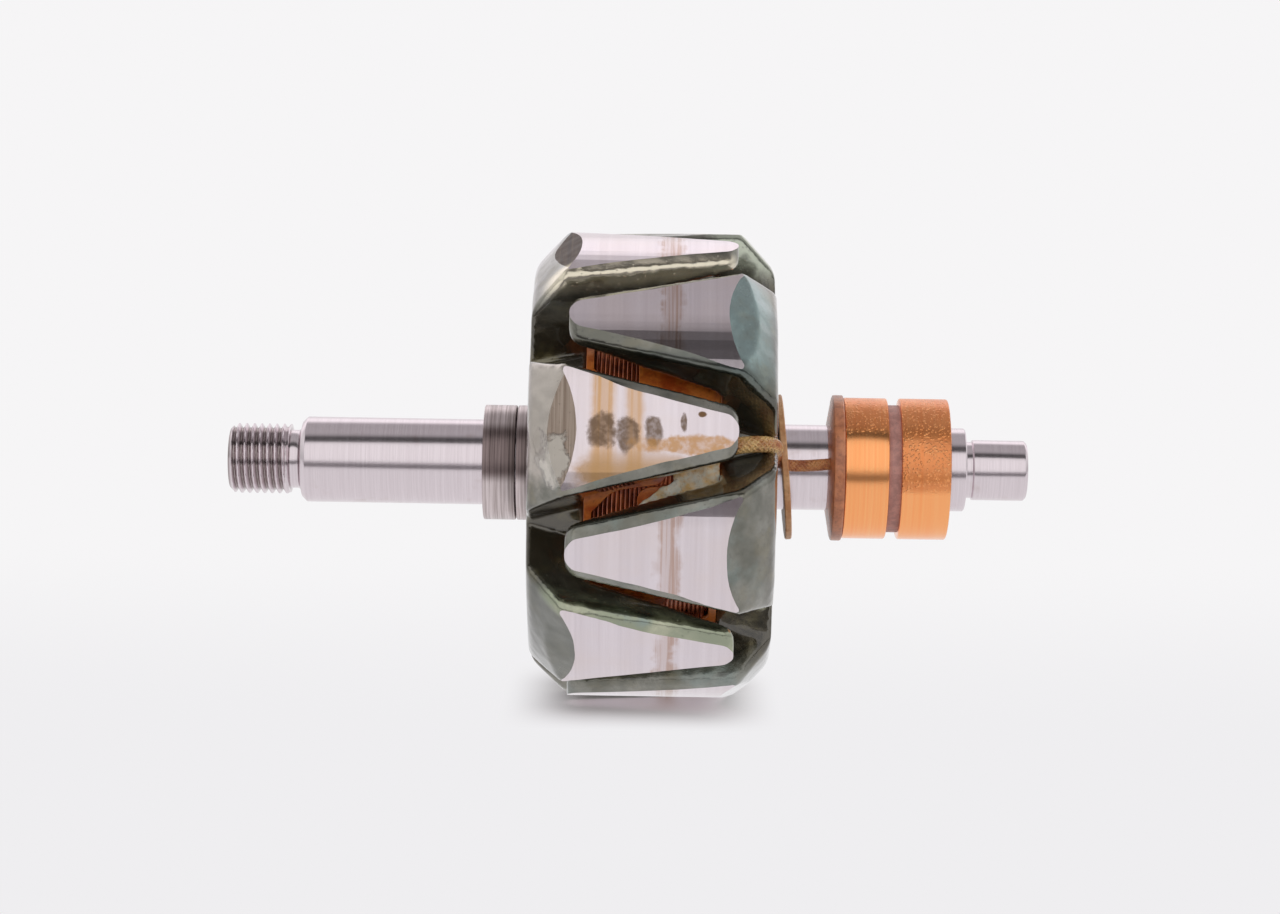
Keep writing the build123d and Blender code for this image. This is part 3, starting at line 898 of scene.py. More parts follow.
def smooth(mesh, angle=30.0):
    """Smooth shading, with edges sharper than an angle in degrees kept crisp."""
    mesh.polygons.foreach_set("use_smooth", [True] * len(mesh.polygons))
    mesh.set_sharp_from_angle(angle=math.radians(angle))
    return mesh


# %% [markdown]
# ## Turned pieces
#
# Everything on the shaft came off a lathe, and so does its mesh: an outline of places and radii is
# carried round the axis. A Screw modifier could do that too, but here a row can also have a radius
# that changes round the shaft, which is how the thread is cut. A ring joins its last row to its
# first.

# %% Lathe
ROUND_STEPS = 144


def lathe(name, outline, ring=False, material_of_row=None):
    """A mesh turned from (place, radius) pairs in millimetres. A radius may be a function."""
    work = bmesh.new()
    rows = []
    for place, radius in outline:
        if radius == 0.0:
            rows.append([work.verts.new((place * MM, 0.0, 0.0))])
            continue
        row = []
        for step in range(ROUND_STEPS):
            turn = 2 * math.pi * step / ROUND_STEPS
            reach = radius(turn) if callable(radius) else radius
            at = (place, -reach * math.cos(turn), -reach * math.sin(turn))
            row.append(work.verts.new([value * MM for value in at]))
        rows.append(row)
    pairs = list(zip(rows, rows[1:]))
    if ring:
        pairs.append((rows[-1], rows[0]))
    for index, (first, second) in enumerate(pairs):
        for step in range(ROUND_STEPS):
            after = (step + 1) % ROUND_STEPS
            corners = [first[step % len(first)], first[after % len(first)]]
            corners += [second[after % len(second)], second[step % len(second)]]
            face = work.faces.new(list(dict.fromkeys(corners)))
            if material_of_row:
                face.material_index = material_of_row(index)
    bmesh.ops.recalc_face_normals(work, faces=work.faces)
    mesh = bpy.data.meshes.new(name)
    work.to_mesh(mesh)
    work.free()
    return smooth(mesh)


# %% [markdown]
# ## Shaft with its thread
#
# The thread is right-handed with a pitch of 1.5 mm. A cutter could be swept along a helix and taken
# off the shaft with a Boolean, which easily leaves torn faces where the groove runs out. Instead
# each row of the lathe takes its radius from where it is in the thread's turn, so the surface stays
# whole, and the end is chamfered as a die leaves it.

# %% Thread
THREAD_PITCH = 1.5
THREAD_RADIUS = 7.0
THREAD_DEPTH = 0.9
THREAD_LENGTH = 12.0
THREAD_CHAMFER = 1.0
THREAD_CREST = 0.14
THREAD_FLANK = 0.72
THREAD_RUN_OUT = 1.2
NECK_RADIUS = 5.8
JOURNAL_RADIUS = 8.5
REAR_RADIUS = 6.0
thread_start = shaft_start / MM
thread_end = thread_start + THREAD_LENGTH


def thread_radius(place):
    """The radius of the thread at a place, as a function of the turn."""
    def reach(turn):
        phase = (place / THREAD_PITCH - turn / (2 * math.pi)) % 1.0
        groove = min(max((abs(2 * phase - 1) - THREAD_CREST) / THREAD_FLANK, 0.0), 1.0)
        fade_out = min(max((thread_end - place) / THREAD_RUN_OUT, 0.0), 1.0)
        radius = THREAD_RADIUS - THREAD_DEPTH * groove * (0.25 + 0.75 * fade_out)
        end_limit = THREAD_RADIUS - THREAD_CHAMFER + (place - thread_start)
        return min(radius, end_limit)
    return reach


print("thread from", round(thread_start, 1), "to", round(thread_end, 1), "mm")

# %% Outline of the shaft
# Each list gives a distance and a radius. A lathe centre is measured inwards from an end.
LATHE_CENTRE = [(4.6, 0.0), (4.6, 0.95), (2.1, 1.0), (0.0, 2.2)]
THREAD_RELIEF = [
    (0.05, 6.1), (0.2, 5.9), (0.45, NECK_RADIUS), (1.5, NECK_RADIUS),
    (1.85, 5.95), (2.15, 6.4), (2.35, 7.1),
]
JOURNAL_EDGE = [(2.4, 7.55), (3.3, JOURNAL_RADIUS - 0.06), (3.45, JOURNAL_RADIUS)]
REAR_COLLAR = [
    (0.0, 8.1), (0.2, 8.3), (3.35, 8.3), (3.6, 8.05), (3.6, 5.75), (3.75, 5.6),
    (4.95, 5.6), (5.1, 5.75), (5.1, REAR_RADIUS - 0.12), (5.25, REAR_RADIUS),
]
REAR_EDGE = [(0.6, REAR_RADIUS), (0.45, REAR_RADIUS - 0.05), (0.0, REAR_RADIUS - 0.5)]
THREAD_STEP = 0.1


def shaft_outline():
    """The shaft's outline from the thread to the rear journal, as rows for the lathe."""
    rows = [(thread_start + depth, radius) for depth, radius in LATHE_CENTRE]
    steps = round(THREAD_LENGTH / THREAD_STEP)
    for step in range(steps + 1):
        place = thread_start + THREAD_LENGTH * step / steps
        rows.append((place, thread_radius(place)))
    rows += [(thread_end + place, radius) for place, radius in THREAD_RELIEF + JOURNAL_EDGE]
    collar = moulding_end / MM
    rows += [(place, JOURNAL_RADIUS) for place in (-0.1, pack_end / MM, collar)]
    rows += [(collar + place, radius) for place, radius in REAR_COLLAR]
    end = shaft_end / MM
    rows += [(end - place, radius) for place, radius in REAR_EDGE]
    rows += [(end - depth, radius) for depth, radius in reversed(LATHE_CENTRE)]
    return rows


# %% Turn the shaft
turned = lathe("shaft_turned", shaft_outline())
new_piece("shaft_turned", turned, ground_steel, "turned_steel", "shaft")
print("shaft:", len(turned.polygons), "faces")

# %% [markdown]
# ## Collar, slip rings and moulding
#
# These are plain rings, but their edges are broken by a tenth or two of a millimetre, so each
# shows a thin line of light. A Bevel modifier could break them, but the outline of a turned ring
# has so few points that they are simply written down.

# %% Rings on the shaft
def ring_outline(start, end, inner, outer, broken=0.2):
    """A ring with both outer edges broken, as places and radii in millimetres."""
    half = broken / 2
    return [
        (start, inner),
        (start, outer - broken),
        (start + half * 0.6, outer - half * 0.6),
        (start + broken, outer),
        (end - broken, outer),
        (end - half * 0.6, outer - half * 0.6),
        (end, outer - broken),
        (end, inner),
    ]


# %% Turn the rings
COLLAR_BORE = 8.6
RING_BORE = 12.0
collar_reach = COLLAR_RADIUS / MM
for name, start, end, node in (
    ("collar_turned", spacer_start, spacer_end, "drive_end_spacer"),
    ("stop_ring_turned", stop_start, stop_end, "stop_ring"),
):
    outline = ring_outline(start / MM, end / MM, COLLAR_BORE, collar_reach, 0.25)
    new_piece(name, lathe(name, outline, ring=True), collar_steel, "turned_steel", node)

inner_start, inner_end, RING_RADIUS = span("slip_ring_inner")
outer_start, outer_end, _ = span("slip_ring_outer")
for name, start, end, copper in (
    ("slip_ring_inner", inner_start, inner_end, inner_copper),
    ("slip_ring_outer", outer_start, outer_end, outer_copper),
):
    outline = ring_outline(start / MM, end / MM, RING_BORE, RING_RADIUS / MM, 0.35)
    mesh = lathe(name + "_turned", outline, ring=True)
    new_piece(name + "_turned", mesh, copper, "slip_ring_copper", name)

# %% Turn the moulding
MOULDING_BORE = 8.5
MOULDING_CORE = 12.2
RIB_RADIUS = 12.7
moulding_from = moulding_start / MM
flange_reach = FLANGE_RADIUS / MM
flange_end = inner_start / MM
moulding_rows = [
    (moulding_from, MOULDING_BORE),
    (moulding_from, MOULDING_BORE + 0.6),
    (moulding_from + 0.85, flange_reach - 0.6),
    (moulding_from + 1.05, flange_reach - 0.1),
    (moulding_from + 1.3, flange_reach),
    (flange_end - 0.3, flange_reach),
    (flange_end - 0.05, flange_reach - 0.15),
    (flange_end, flange_reach - 0.5),
    (flange_end, MOULDING_CORE),
    (inner_end / MM, MOULDING_CORE),
    (inner_end / MM, RIB_RADIUS),
    (outer_start / MM, RIB_RADIUS),
    (outer_start / MM, MOULDING_CORE),
    (outer_end / MM - 0.1, MOULDING_CORE),
    (outer_end / MM, RING_BORE),
    (outer_end / MM, MOULDING_BORE),
]
# The faces after these rows belong to the rib and take the second material.
RIB_ROWS = (9, 10, 11)


def moulding_material(row):
    """The number of the material that the faces after a row take."""
    return int(row in RIB_ROWS)


moulding = lathe("moulding_turned", moulding_rows, ring=True, material_of_row=moulding_material)
new_piece("moulding_turned", moulding, None, "ring_moulding", "slip_ring_insulator")
moulding.materials.append(flange_moulding)
moulding.materials.append(rib_moulding)
print("rings done, flange radius", round(flange_reach, 2))

# %% [markdown]
# ## Forged, then turned
#
# A CAD edge is perfectly sharp. On the real pole half only the edges that the lathe made are sharp,
# and everything that the die made is rounded. A Bevel modifier would round them all alike, and it
# fails where many edges meet in a valley. So each half is made in the same order as the real one.
# First the claw tops are raised a little, with their side faces carried on in their own planes. Then
# the forging is remeshed in small cells and smoothed, which rounds its edges and fills its valleys.
# Last a Boolean with a turned envelope takes the tops down to their true radius.

# %% Raise the claw tops
RAISED = 1.1 * MM
FURTHEST = 2.2 * RAISED
MERGE_DISTANCE = 0.002 * MM
FLAT_ANGLE = 0.6


def merged_copy(node):
    """A copy of a CAD node's mesh with its vertices merged and its flat faces joined."""
    mesh = nodes[node].data.copy()
    work = bmesh.new()
    work.from_mesh(mesh)
    bmesh.ops.remove_doubles(work, verts=work.verts, dist=MERGE_DISTANCE)
    flat = math.radians(FLAT_ANGLE)
    bmesh.ops.dissolve_limit(
        work, angle_limit=flat, verts=work.verts, edges=work.edges, use_dissolve_boundaries=False
    )
    work.to_mesh(mesh)
    work.free()
    mesh.polygons.foreach_set("use_smooth", [True] * len(mesh.polygons))
    return mesh


def raise_tops(mesh):
    """Moves the claw tops outwards, each corner along the side faces that meet there."""
    work = bmesh.new()
    work.from_mesh(mesh)
    at_top = [v for v in work.verts if math.hypot(v.co.y, v.co.z) > POLE_RADIUS - 0.05 * MM]
    known = set(at_top)
    moves = {}
    for vertex in at_top:
        outward = Vector((0.0, vertex.co.y, vertex.co.z)).normalized()
        rows = [outward]
        for face in vertex.link_faces:
            if not all(v in known for v in face.verts):
                rows.append(face.normal)
        wanted = [RAISED] + [0.0] * (len(rows) - 1)
        move = Vector(np.linalg.lstsq(np.array(rows), np.array(wanted), rcond=0.05)[0])
        if move.length > FURTHEST:
            move *= FURTHEST / move.length
        moves[vertex] = move
    for vertex, move in moves.items():
        vertex.co += move
    work.to_mesh(mesh)
    work.free()
    return len(moves)


# %% Envelope of the lathe
CELL = 0.5 * MM
ROUNDING_PASSES = 7
UNEVENNESS = 0.16 * MM
ENVELOPE_START = -2.0
ENVELOPE_END = 70.0
uneven_forging = bpy.data.textures.new("uneven_forging", "CLOUDS")
uneven_forging.noise_scale = 7.0 * MM
uneven_forging.noise_depth = 1


def turned_envelope(material):
    """A plain cylinder of the poles' radius. What it cuts takes its material."""
    reach = POLE_RADIUS / MM
    outline = [(ENVELOPE_START, 0.0), (ENVELOPE_START, reach), (ENVELOPE_END, reach), (ENVELOPE_END, 0.0)]
    envelope = new_draft("envelope", lathe("envelope", outline))
    envelope.data.materials.append(material)
    return envelope


# %% Shade the pole halves
def shade_pole(mesh):
    """Smooth faces, with a crisp edge wherever two materials meet."""
    work = bmesh.new()
    work.from_mesh(mesh)
    for face in work.faces:
        face.smooth = True
    for edge in work.edges:
        faces = edge.link_faces
        edge.smooth = len(faces) == 2 and faces[0].material_index == faces[1].material_index
    work.to_mesh(mesh)
    work.free()


# %% Forge and turn the pole halves
def forge(node, varnish, tops):
    """A pole half with rounded forged edges and crisp turned tops."""
    rough = merged_copy(node)
    raise_tops(rough)
    rough.materials.clear()
    rough.materials.append(varnish)
    draft = new_draft("draft", rough)
    cells = draft.modifiers.new("cells", "REMESH")
    cells.mode = "VOXEL"
    cells.voxel_size = CELL
    rounding = draft.modifiers.new("rounding", "SMOOTH")
    rounding.factor = 0.5
    rounding.iterations = ROUNDING_PASSES
    push_by(draft, "unevenness", uneven_forging, UNEVENNESS)
    envelope = turned_envelope(tops)
    turning = draft.modifiers.new("turning", "BOOLEAN")
    turning.operation = "INTERSECT"
    turning.object = envelope
    turning.solver = "MANIFOLD"
    turning.material_mode = "TRANSFER"
    mesh = baked_mesh(draft)
    bpy.data.objects.remove(envelope)
    shade_pole(mesh)
    piece = new_piece(node + "_forged", mesh, None, "varnished_pole_steel", node)
    print(piece.name, len(mesh.polygons), "faces", [m.name for m in mesh.materials])


forge("pole_half_drive_end", drive_end_varnish, drive_end_tops)
forge("pole_half_ring_end", ring_end_varnish, ring_end_tops)

# %% [markdown]
# ## Pressed paper and board
#
# The insulation stars and the washer are thin sheets, pressed and soaked. They could be remeshed as
# the forgings are, but their thickness would need very fine cells. So they keep the CAD's shape,
# with their edges rounded by a Bevel modifier, and with the slight wave that soaked paper dries
# into.

# %% Round the paper and the board
wave = bpy.data.textures.new("paper_wave", "CLOUDS")
wave.noise_scale = 9.0 * MM
wave.noise_depth = 1


def pressed(node, material, slot, rounding_width, wave_height):
    """A thin piece with rounded edges and a slight wave along the shaft."""
    draft = new_draft("draft", merged_copy(node))
    rounding = draft.modifiers.new("rounding", "BEVEL")
    rounding.width = rounding_width
    rounding.segments = 2
    rounding.limit_method = "ANGLE"
    rounding.angle_limit = math.radians(30)
    push_by(draft, "waving", wave, wave_height, direction="X")
    weighted = draft.modifiers.new("shading", "WEIGHTED_NORMAL")
    weighted.keep_sharp = True
    mesh = baked_mesh(draft)
    print(node, len(mesh.polygons), "faces")
    return new_piece(node + "_pressed", mesh, material, slot, node)


pressed("insulation_star_drive_end", soaked_paper, "insulation_paper", 0.12 * MM, 0.06 * MM)
pressed("insulation_star_ring_end", soaked_paper, "insulation_paper", 0.12 * MM, 0.06 * MM)
pressed("lead_washer", washer_board, "washer_board", 0.3 * MM, 0.1 * MM)

# %% [markdown]
# ## Geometry Nodes helpers
#
# What repeats or follows a path is made by a tree of Geometry Nodes. A loop in Python could lay the
# same points, but a tree keeps its sizes as named inputs, so one tree serves several pieces. Its
# result is turned into a plain mesh once it is done.

# %% Geometry helpers
def start_tree(name, inputs):
    """A geometry tree with named inputs. Returns the tree, its input sockets and its output socket."""
    tree = bpy.data.node_groups.new(name, "GeometryNodeTree")
    tree.interface.new_socket("Geometry", in_out="INPUT", socket_type="NodeSocketGeometry")
    kinds = {int: "NodeSocketInt", float: "NodeSocketFloat", Vector: "NodeSocketVector"}
    for label, value in inputs.items():
        if isinstance(value, bpy.types.Material):
            socket = tree.interface.new_socket(label, in_out="INPUT", socket_type="NodeSocketMaterial")
        else:
            socket = tree.interface.new_socket(label, in_out="INPUT", socket_type=kinds[type(value)])
            socket.default_value = value
    tree.interface.new_socket("Geometry", in_out="OUTPUT", socket_type="NodeSocketGeometry")
    start = tree.nodes.new("NodeGroupInput")
    end = tree.nodes.new("NodeGroupOutput")
    return tree, start.outputs, end.inputs["Geometry"]


def grow(name, tree, base, values):
    """Runs a geometry tree on a base object's data and returns the plain mesh that it makes."""
    holder = new_draft(name, base)
    modifier = holder.modifiers.new(name, "NODES")
    modifier.node_group = tree
    for item in tree.interface.items_tree:
        if item.in_out == "INPUT" and item.name in values:
            modifier[item.identifier] = values[item.name]
    mesh = baked_mesh(holder)
    mesh.name = name
    return mesh


def finish_tree(tree, geometry, material, output):
    """Ends a geometry tree: real geometry, smooth faces and a material."""
    real = add_node(tree, "GeometryNodeRealizeInstances")
    feed(tree, real.inputs[0], geometry)
    shaded = add_node(tree, "GeometryNodeSetShadeSmooth")
    feed(tree, shaded.inputs["Geometry"], real.outputs[0])
    painted = add_node(tree, "GeometryNodeSetMaterial")
    feed(tree, painted.inputs["Geometry"], shaded.outputs[0])
    feed(tree, painted.inputs["Material"], material)
    feed(tree, output, painted.outputs[0])


# %% [markdown]
# ## The field coil
#
# Copper wire is wound in many layers round the bobbin. Only the outer layer shows between the claws.
# Stacked rings would look much like it, but a real coil is one spiral, and the turns lean a little,
# so it is one spiral of wire round a solid core. A little noise along the shaft moves the wires
# apart here and together there, as on a hand-fed winding machine.

# %% Tree for a wound coil
wire_tree, given, output = start_tree(
    "coil winding",
    {
        "Turns": 20.0,
        "Radius": 0.03,
        "Length": 0.02,
        "Wire": 0.0004,
        "Wander": 0.0001,
        "Material": enamelled_wire,
    },
)
spiral = add_node(wire_tree, "GeometryNodeCurveSpiral")
spiral.inputs["Resolution"].default_value = 96
feed(wire_tree, spiral.inputs["Rotations"], given["Turns"])
feed(wire_tree, spiral.inputs["Start Radius"], given["Radius"])
feed(wire_tree, spiral.inputs["End Radius"], given["Radius"])
feed(wire_tree, spiral.inputs["Height"], given["Length"])
wander = add_node(wire_tree, "ShaderNodeTexNoise")
wander.inputs["Scale"].default_value = 90.0
wander.inputs["Detail"].default_value = 2.0
centred = minus(wire_tree, wander.outputs["Fac"], 0.5)
shift = add_node(wire_tree, "ShaderNodeCombineXYZ")
feed(wire_tree, shift.inputs["Z"], times(wire_tree, centred, given["Wander"]))
moved = add_node(wire_tree, "GeometryNodeSetPosition")
feed(wire_tree, moved.inputs["Geometry"], spiral.outputs[0])
feed(wire_tree, moved.inputs["Offset"], shift.outputs[0])
section = add_node(wire_tree, "GeometryNodeCurvePrimitiveCircle")
section.inputs["Resolution"].default_value = 8
feed(wire_tree, section.inputs["Radius"], given["Wire"])
wire = add_node(wire_tree, "GeometryNodeCurveToMesh")
feed(wire_tree, wire.inputs["Curve"], moved.outputs[0])
feed(wire_tree, wire.inputs["Profile Curve"], section.outputs[0])
wire.inputs["Fill Caps"].default_value = True
finish_tree(wire_tree, wire.outputs[0], given["Material"], output)

# %% Wind the coil
WIRE_PITCH = 0.84
COIL_BORE = 25.5
coil_length = coil_end - coil_start
wire_radius = WIRE_PITCH / 2 * MM
turns = coil_length / (WIRE_PITCH * MM) - 1.0
values = {
    "Turns": turns,
    "Radius": COIL_RADIUS - wire_radius,
    "Length": coil_length - 2 * wire_radius,
    "Wire": wire_radius,
    "Wander": 0.9 * wire_radius,
    "Material": enamelled_wire,
}
wires = grow("coil_wires", wire_tree, bpy.data.meshes.new("empty"), values)
along_shaft = Matrix.Rotation(math.radians(90), 4, "Y")
wires.transform(Matrix.Translation((coil_start + wire_radius, 0, 0)) @ along_shaft)
new_piece("coil_wires", wires, None, "enamelled_copper", "field_winding")
body_reach = (COIL_RADIUS - 1.5 * wire_radius) / MM
body_outline = ring_outline(coil_start / MM, coil_end / MM, COIL_BORE, body_reach, 0.6)
body = lathe("coil_body", body_outline, ring=True)
new_piece("coil_body", body, enamelled_wire, "enamelled_copper")
print("coil:", round(turns, 1), "turns,", len(wires.polygons), "faces")

# %% [markdown]
# ## Woven leads
#
# Each lead leaves the coil, goes over the web, down the pole's face, through the washer and along
# the shaft. Its route is a smooth curve through a few points, given by their place along the shaft,
# their distance from the axis and their angle. A second, wider sleeve covers the first part.
# A plain tube with a woven pattern in its material would do from afar. Here the strands are real:
# they go round the route both ways, and each rides over one and under the next. A cosine of the
# angle lifts the strands of one direction where it lowers those of the other.

# %% Route of the near lead
LEAD_ROUTE = [
    (40.8, 36.25, -10.0),
    (47.95, 36.25, -13.0),
    (57.2, 31.75, -15.0),
    (57.2, 22.4, -15.0),
    (57.2, 13.1, -15.0),
    (60.6, 9.8, -4.8),
    (71.4, 9.8, -13.2),
]
SLEEVE_POINTS = 4


def route_curve(name, places, turn):
    """A smooth curve whose control points are given round the shaft, turned by an angle in degrees."""
    data = bpy.data.curves.new(name, "CURVE")
    data.dimensions = "3D"
    spline = data.splines.new("NURBS")
    spline.points.add(len(places) - 1)
    for point, (place, radius, angle) in zip(spline.points, places):
        at = math.radians(angle + turn)
        point.co = (place * MM, -radius * math.cos(at) * MM, -radius * math.sin(at) * MM, 1.0)
    spline.order_u = 3
    spline.use_endpoint_u = True
    spline.resolution_u = 24
    return data


print("lead's route:", len(LEAD_ROUTE), "points, the sleeve takes the first", SLEEVE_POINTS)

# %% Braid tree: its inputs and the core under the strands
braid_tree, given, output = start_tree(
    "braid",
    {
        "Strands": 8,
        "Steps": 120,
        "Turns": 3.0,
        "Reach": 0.001,
        "Strand": 0.0002,
        "Lift": 0.0001,
        "Core": 0.001,
        "Material": sleeve_strands,
    },
)
core_line = add_node(braid_tree, "GeometryNodeResampleCurve")
feed(braid_tree, core_line.inputs["Curve"], given["Geometry"])
core_line.inputs["Count"].default_value = 90
core_round = add_node(braid_tree, "GeometryNodeCurvePrimitiveCircle")
core_round.inputs["Resolution"].default_value = 20
feed(braid_tree, core_round.inputs["Radius"], given["Core"])
core = add_node(braid_tree, "GeometryNodeCurveToMesh")
feed(braid_tree, core.inputs["Curve"], core_line.outputs[0])
feed(braid_tree, core.inputs["Profile Curve"], core_round.outputs[0])
core.inputs["Fill Caps"].default_value = True
together = add_node(braid_tree, "GeometryNodeJoinGeometry")
feed(braid_tree, together.inputs[0], core.outputs[0])

# %% Braid tree: the strands that go round each way
for direction in (1.0, -1.0):
    line = add_node(braid_tree, "GeometryNodeCurvePrimitiveLine")
    steps = add_node(braid_tree, "GeometryNodeResampleCurve")
    feed(braid_tree, steps.inputs["Curve"], line.outputs[0])
    feed(braid_tree, steps.inputs["Count"], given["Steps"])
    copies = add_node(braid_tree, "GeometryNodeDuplicateElements", domain="SPLINE")
    feed(braid_tree, copies.inputs["Geometry"], steps.outputs[0])
    feed(braid_tree, copies.inputs["Amount"], given["Strands"])
    share = add_node(braid_tree, "GeometryNodeSplineParameter").outputs["Factor"]
    start_turn = maths(braid_tree, "DIVIDE", copies.outputs["Duplicate Index"], given["Strands"])
    travelled = times(braid_tree, times(braid_tree, share, given["Turns"]), direction)
    angle = times(braid_tree, plus(braid_tree, start_turn, travelled), 2 * math.pi)
    wave = maths(braid_tree, "COSINE", times(braid_tree, angle, given["Strands"]))
    lift = times(braid_tree, times(braid_tree, wave, given["Lift"]), direction)
    reach = plus(braid_tree, given["Reach"], lift)
    on_route = add_node(braid_tree, "GeometryNodeSampleCurve", mode="FACTOR")
    feed(braid_tree, on_route.inputs["Curves"], given["Geometry"])
    feed(braid_tree, on_route.inputs["Factor"], share)
    sideways = add_node(braid_tree, "ShaderNodeVectorMath", operation="CROSS_PRODUCT")
    feed(braid_tree, sideways.inputs[0], on_route.outputs["Tangent"])
    feed(braid_tree, sideways.inputs[1], on_route.outputs["Normal"])
    place = on_route.outputs["Position"]
    for arm, trend in ((on_route.outputs["Normal"], "COSINE"), (sideways.outputs[0], "SINE")):
        scaled = add_node(braid_tree, "ShaderNodeVectorMath", operation="SCALE")
        feed(braid_tree, scaled.inputs[0], arm)
        swing = times(braid_tree, maths(braid_tree, trend, angle), reach)
        feed(braid_tree, scaled.inputs["Scale"], swing)
        added = add_node(braid_tree, "ShaderNodeVectorMath", operation="ADD")
        feed(braid_tree, added.inputs[0], place)
        feed(braid_tree, added.inputs[1], scaled.outputs[0])
        place = added.outputs[0]
    laid = add_node(braid_tree, "GeometryNodeSetPosition")
    feed(braid_tree, laid.inputs["Geometry"], copies.outputs["Geometry"])
    feed(braid_tree, laid.inputs["Position"], place)
    strand_round = add_node(braid_tree, "GeometryNodeCurvePrimitiveCircle")
    strand_round.inputs["Resolution"].default_value = 6
    feed(braid_tree, strand_round.inputs["Radius"], given["Strand"])
    strands = add_node(braid_tree, "GeometryNodeCurveToMesh")
    feed(braid_tree, strands.inputs["Curve"], laid.outputs[0])
    feed(braid_tree, strands.inputs["Profile Curve"], strand_round.outputs[0])
    strands.inputs["Fill Caps"].default_value = True
    feed(braid_tree, together.inputs[0], strands.outputs[0])
finish_tree(braid_tree, together.outputs[0], given["Material"], output)

# %% Braid the leads and their sleeves
lead_values = {
    "Strands": 8,
    "Steps": 250,
    "Turns": 7.5,
    "Reach": 0.00093,
    "Strand": 0.00021,
    "Lift": 0.00006,
    "Core": 0.00098,
    "Material": lead_cover,
}
sleeve_values = {
    "Strands": 9,
    "Steps": 110,
    "Turns": 2.6,
    "Reach": 0.00131,
    "Strand": 0.00027,
    "Lift": 0.00008,
    "Core": 0.00136,
    "Material": sleeve_strands,
}
for side, turn in (("near", 0.0), ("far", 180.0)):
    route = route_curve("lead_route", LEAD_ROUTE, turn)
    mesh = grow(f"lead_{side}_woven", braid_tree, route, lead_values)
    new_piece(mesh.name, mesh, None, "lead_wire", f"lead_{side}")
    route = route_curve("sleeve_route", LEAD_ROUTE[:SLEEVE_POINTS], turn)
    mesh = grow(f"lead_sleeve_{side}_woven", braid_tree, route, sleeve_values)
    new_piece(mesh.name, mesh, None, "lead_sleeve", f"lead_sleeve_{side}")
    print(side, "sleeve:", len(mesh.polygons), "faces")

# %% [markdown]
# ## Glass tape on the coil's outlet
#
# A pad of glass tape holds each lead where it leaves the coil, and its loose end is torn to a point.
# It was pressed on by hand while the varnish was wet, so it is crumpled. A cloth simulation could
# crumple it too, but not twice in the same way. So the CAD pad gets its tail, is remeshed finely,
# and is pushed in and out by two textures, one with broad folds and one with small sharp ones.

# %% Torn tail of the tape
# The tail's rows each have a place along the shaft, an angle and a width.
TAIL = [(30.9, 6.4, 0.2), (32.3, 5.0, 0.9), (34.2, 3.2, 1.5), (36.4, 1.2, 1.9), (39.0, -0.6, 2.5)]
TAIL_HEIGHTS = (1.2, 1.9)


def add_tail(mesh):
    """Adds the tape's loose end, a thin pointed blade that lies on the coil."""
    work = bmesh.new()
    work.from_mesh(mesh)
    rows = []
    for place, angle, width in TAIL:
        row = []
        for height in TAIL_HEIGHTS:
            reach = COIL_RADIUS / MM + height
            for side in (-0.5, 0.5):
                turn = math.radians(angle) + side * width / reach
                at = (place + side * width * 0.5, -reach * math.cos(turn), -reach * math.sin(turn))
                row.append(work.verts.new([value * MM for value in at]))
        rows.append([row[0], row[1], row[3], row[2]])
    for first, second in zip(rows, rows[1:]):
        for corner in range(4):
            after = (corner + 1) % 4
            work.faces.new([first[corner], first[after], second[after], second[corner]])
    work.faces.new(rows[0])
    work.faces.new(rows[-1][::-1])
    bmesh.ops.recalc_face_normals(work, faces=work.faces)
    work.to_mesh(mesh)
    work.free()


# %% Crumple the tapes
TAPE_CELL = 0.18 * MM
BROAD_DEPTH = 1.1 * MM
SHARP_DEPTH = 0.5 * MM
FOLD_MIDDLE = 0.45
broad_folds = bpy.data.textures.new("broad_folds", "CLOUDS")
broad_folds.noise_scale = 3.4 * MM
broad_folds.noise_depth = 1
sharp_folds = bpy.data.textures.new("sharp_folds", "VORONOI")
sharp_folds.noise_scale = 2.2 * MM
sharp_folds.distance_metric = "DISTANCE"

for side, turn in (("near", 0.0), ("far", 180.0)):
    patch = merged_copy(f"coil_tape_{side}")
    patch.transform(Matrix.Rotation(math.radians(-turn), 4, "X"))
    add_tail(patch)
    draft = new_draft("draft", patch)
    fine = draft.modifiers.new("fine", "REMESH")
    fine.mode = "VOXEL"
    fine.voxel_size = TAPE_CELL
    fine.use_smooth_shade = True
    push_by(draft, "broad", broad_folds, BROAD_DEPTH, FOLD_MIDDLE)
    push_by(draft, "sharp", sharp_folds, SHARP_DEPTH, FOLD_MIDDLE)
    soften = draft.modifiers.new("soften", "SMOOTH")
    soften.iterations = 3
    mesh = baked_mesh(draft)
    mesh.transform(Matrix.Rotation(math.radians(turn), 4, "X"))
    new_piece(f"coil_tape_{side}_crumpled", mesh, glass_tape, "glass_tape", f"coil_tape_{side}")
    print(side, "tape:", len(mesh.polygons), "faces")

# %% [markdown]
# ## Table
#
# The photograph shows the rotor cut out on near-white, with a soft shadow below it. A shadow catcher
# could give the shadow alone, but then nothing pale would light the rotor from below. So a real
# table takes the shadow. Away from the rotor it fades into the plain near-white of the picture, for
# the camera and for what the steel mirrors, but it keeps lighting the rotor as a real table does.

# %% Shape of the table
STAGE_CENTRE = 0.03
TABLE_SIZE = 8.0
bpy.ops.mesh.primitive_plane_add(size=TABLE_SIZE, location=(STAGE_CENTRE, 0.0, FLOOR_HEIGHT))
floor = bpy.context.object
floor.name = "table"
print("table at", round(FLOOR_HEIGHT / MM, 1), "mm")

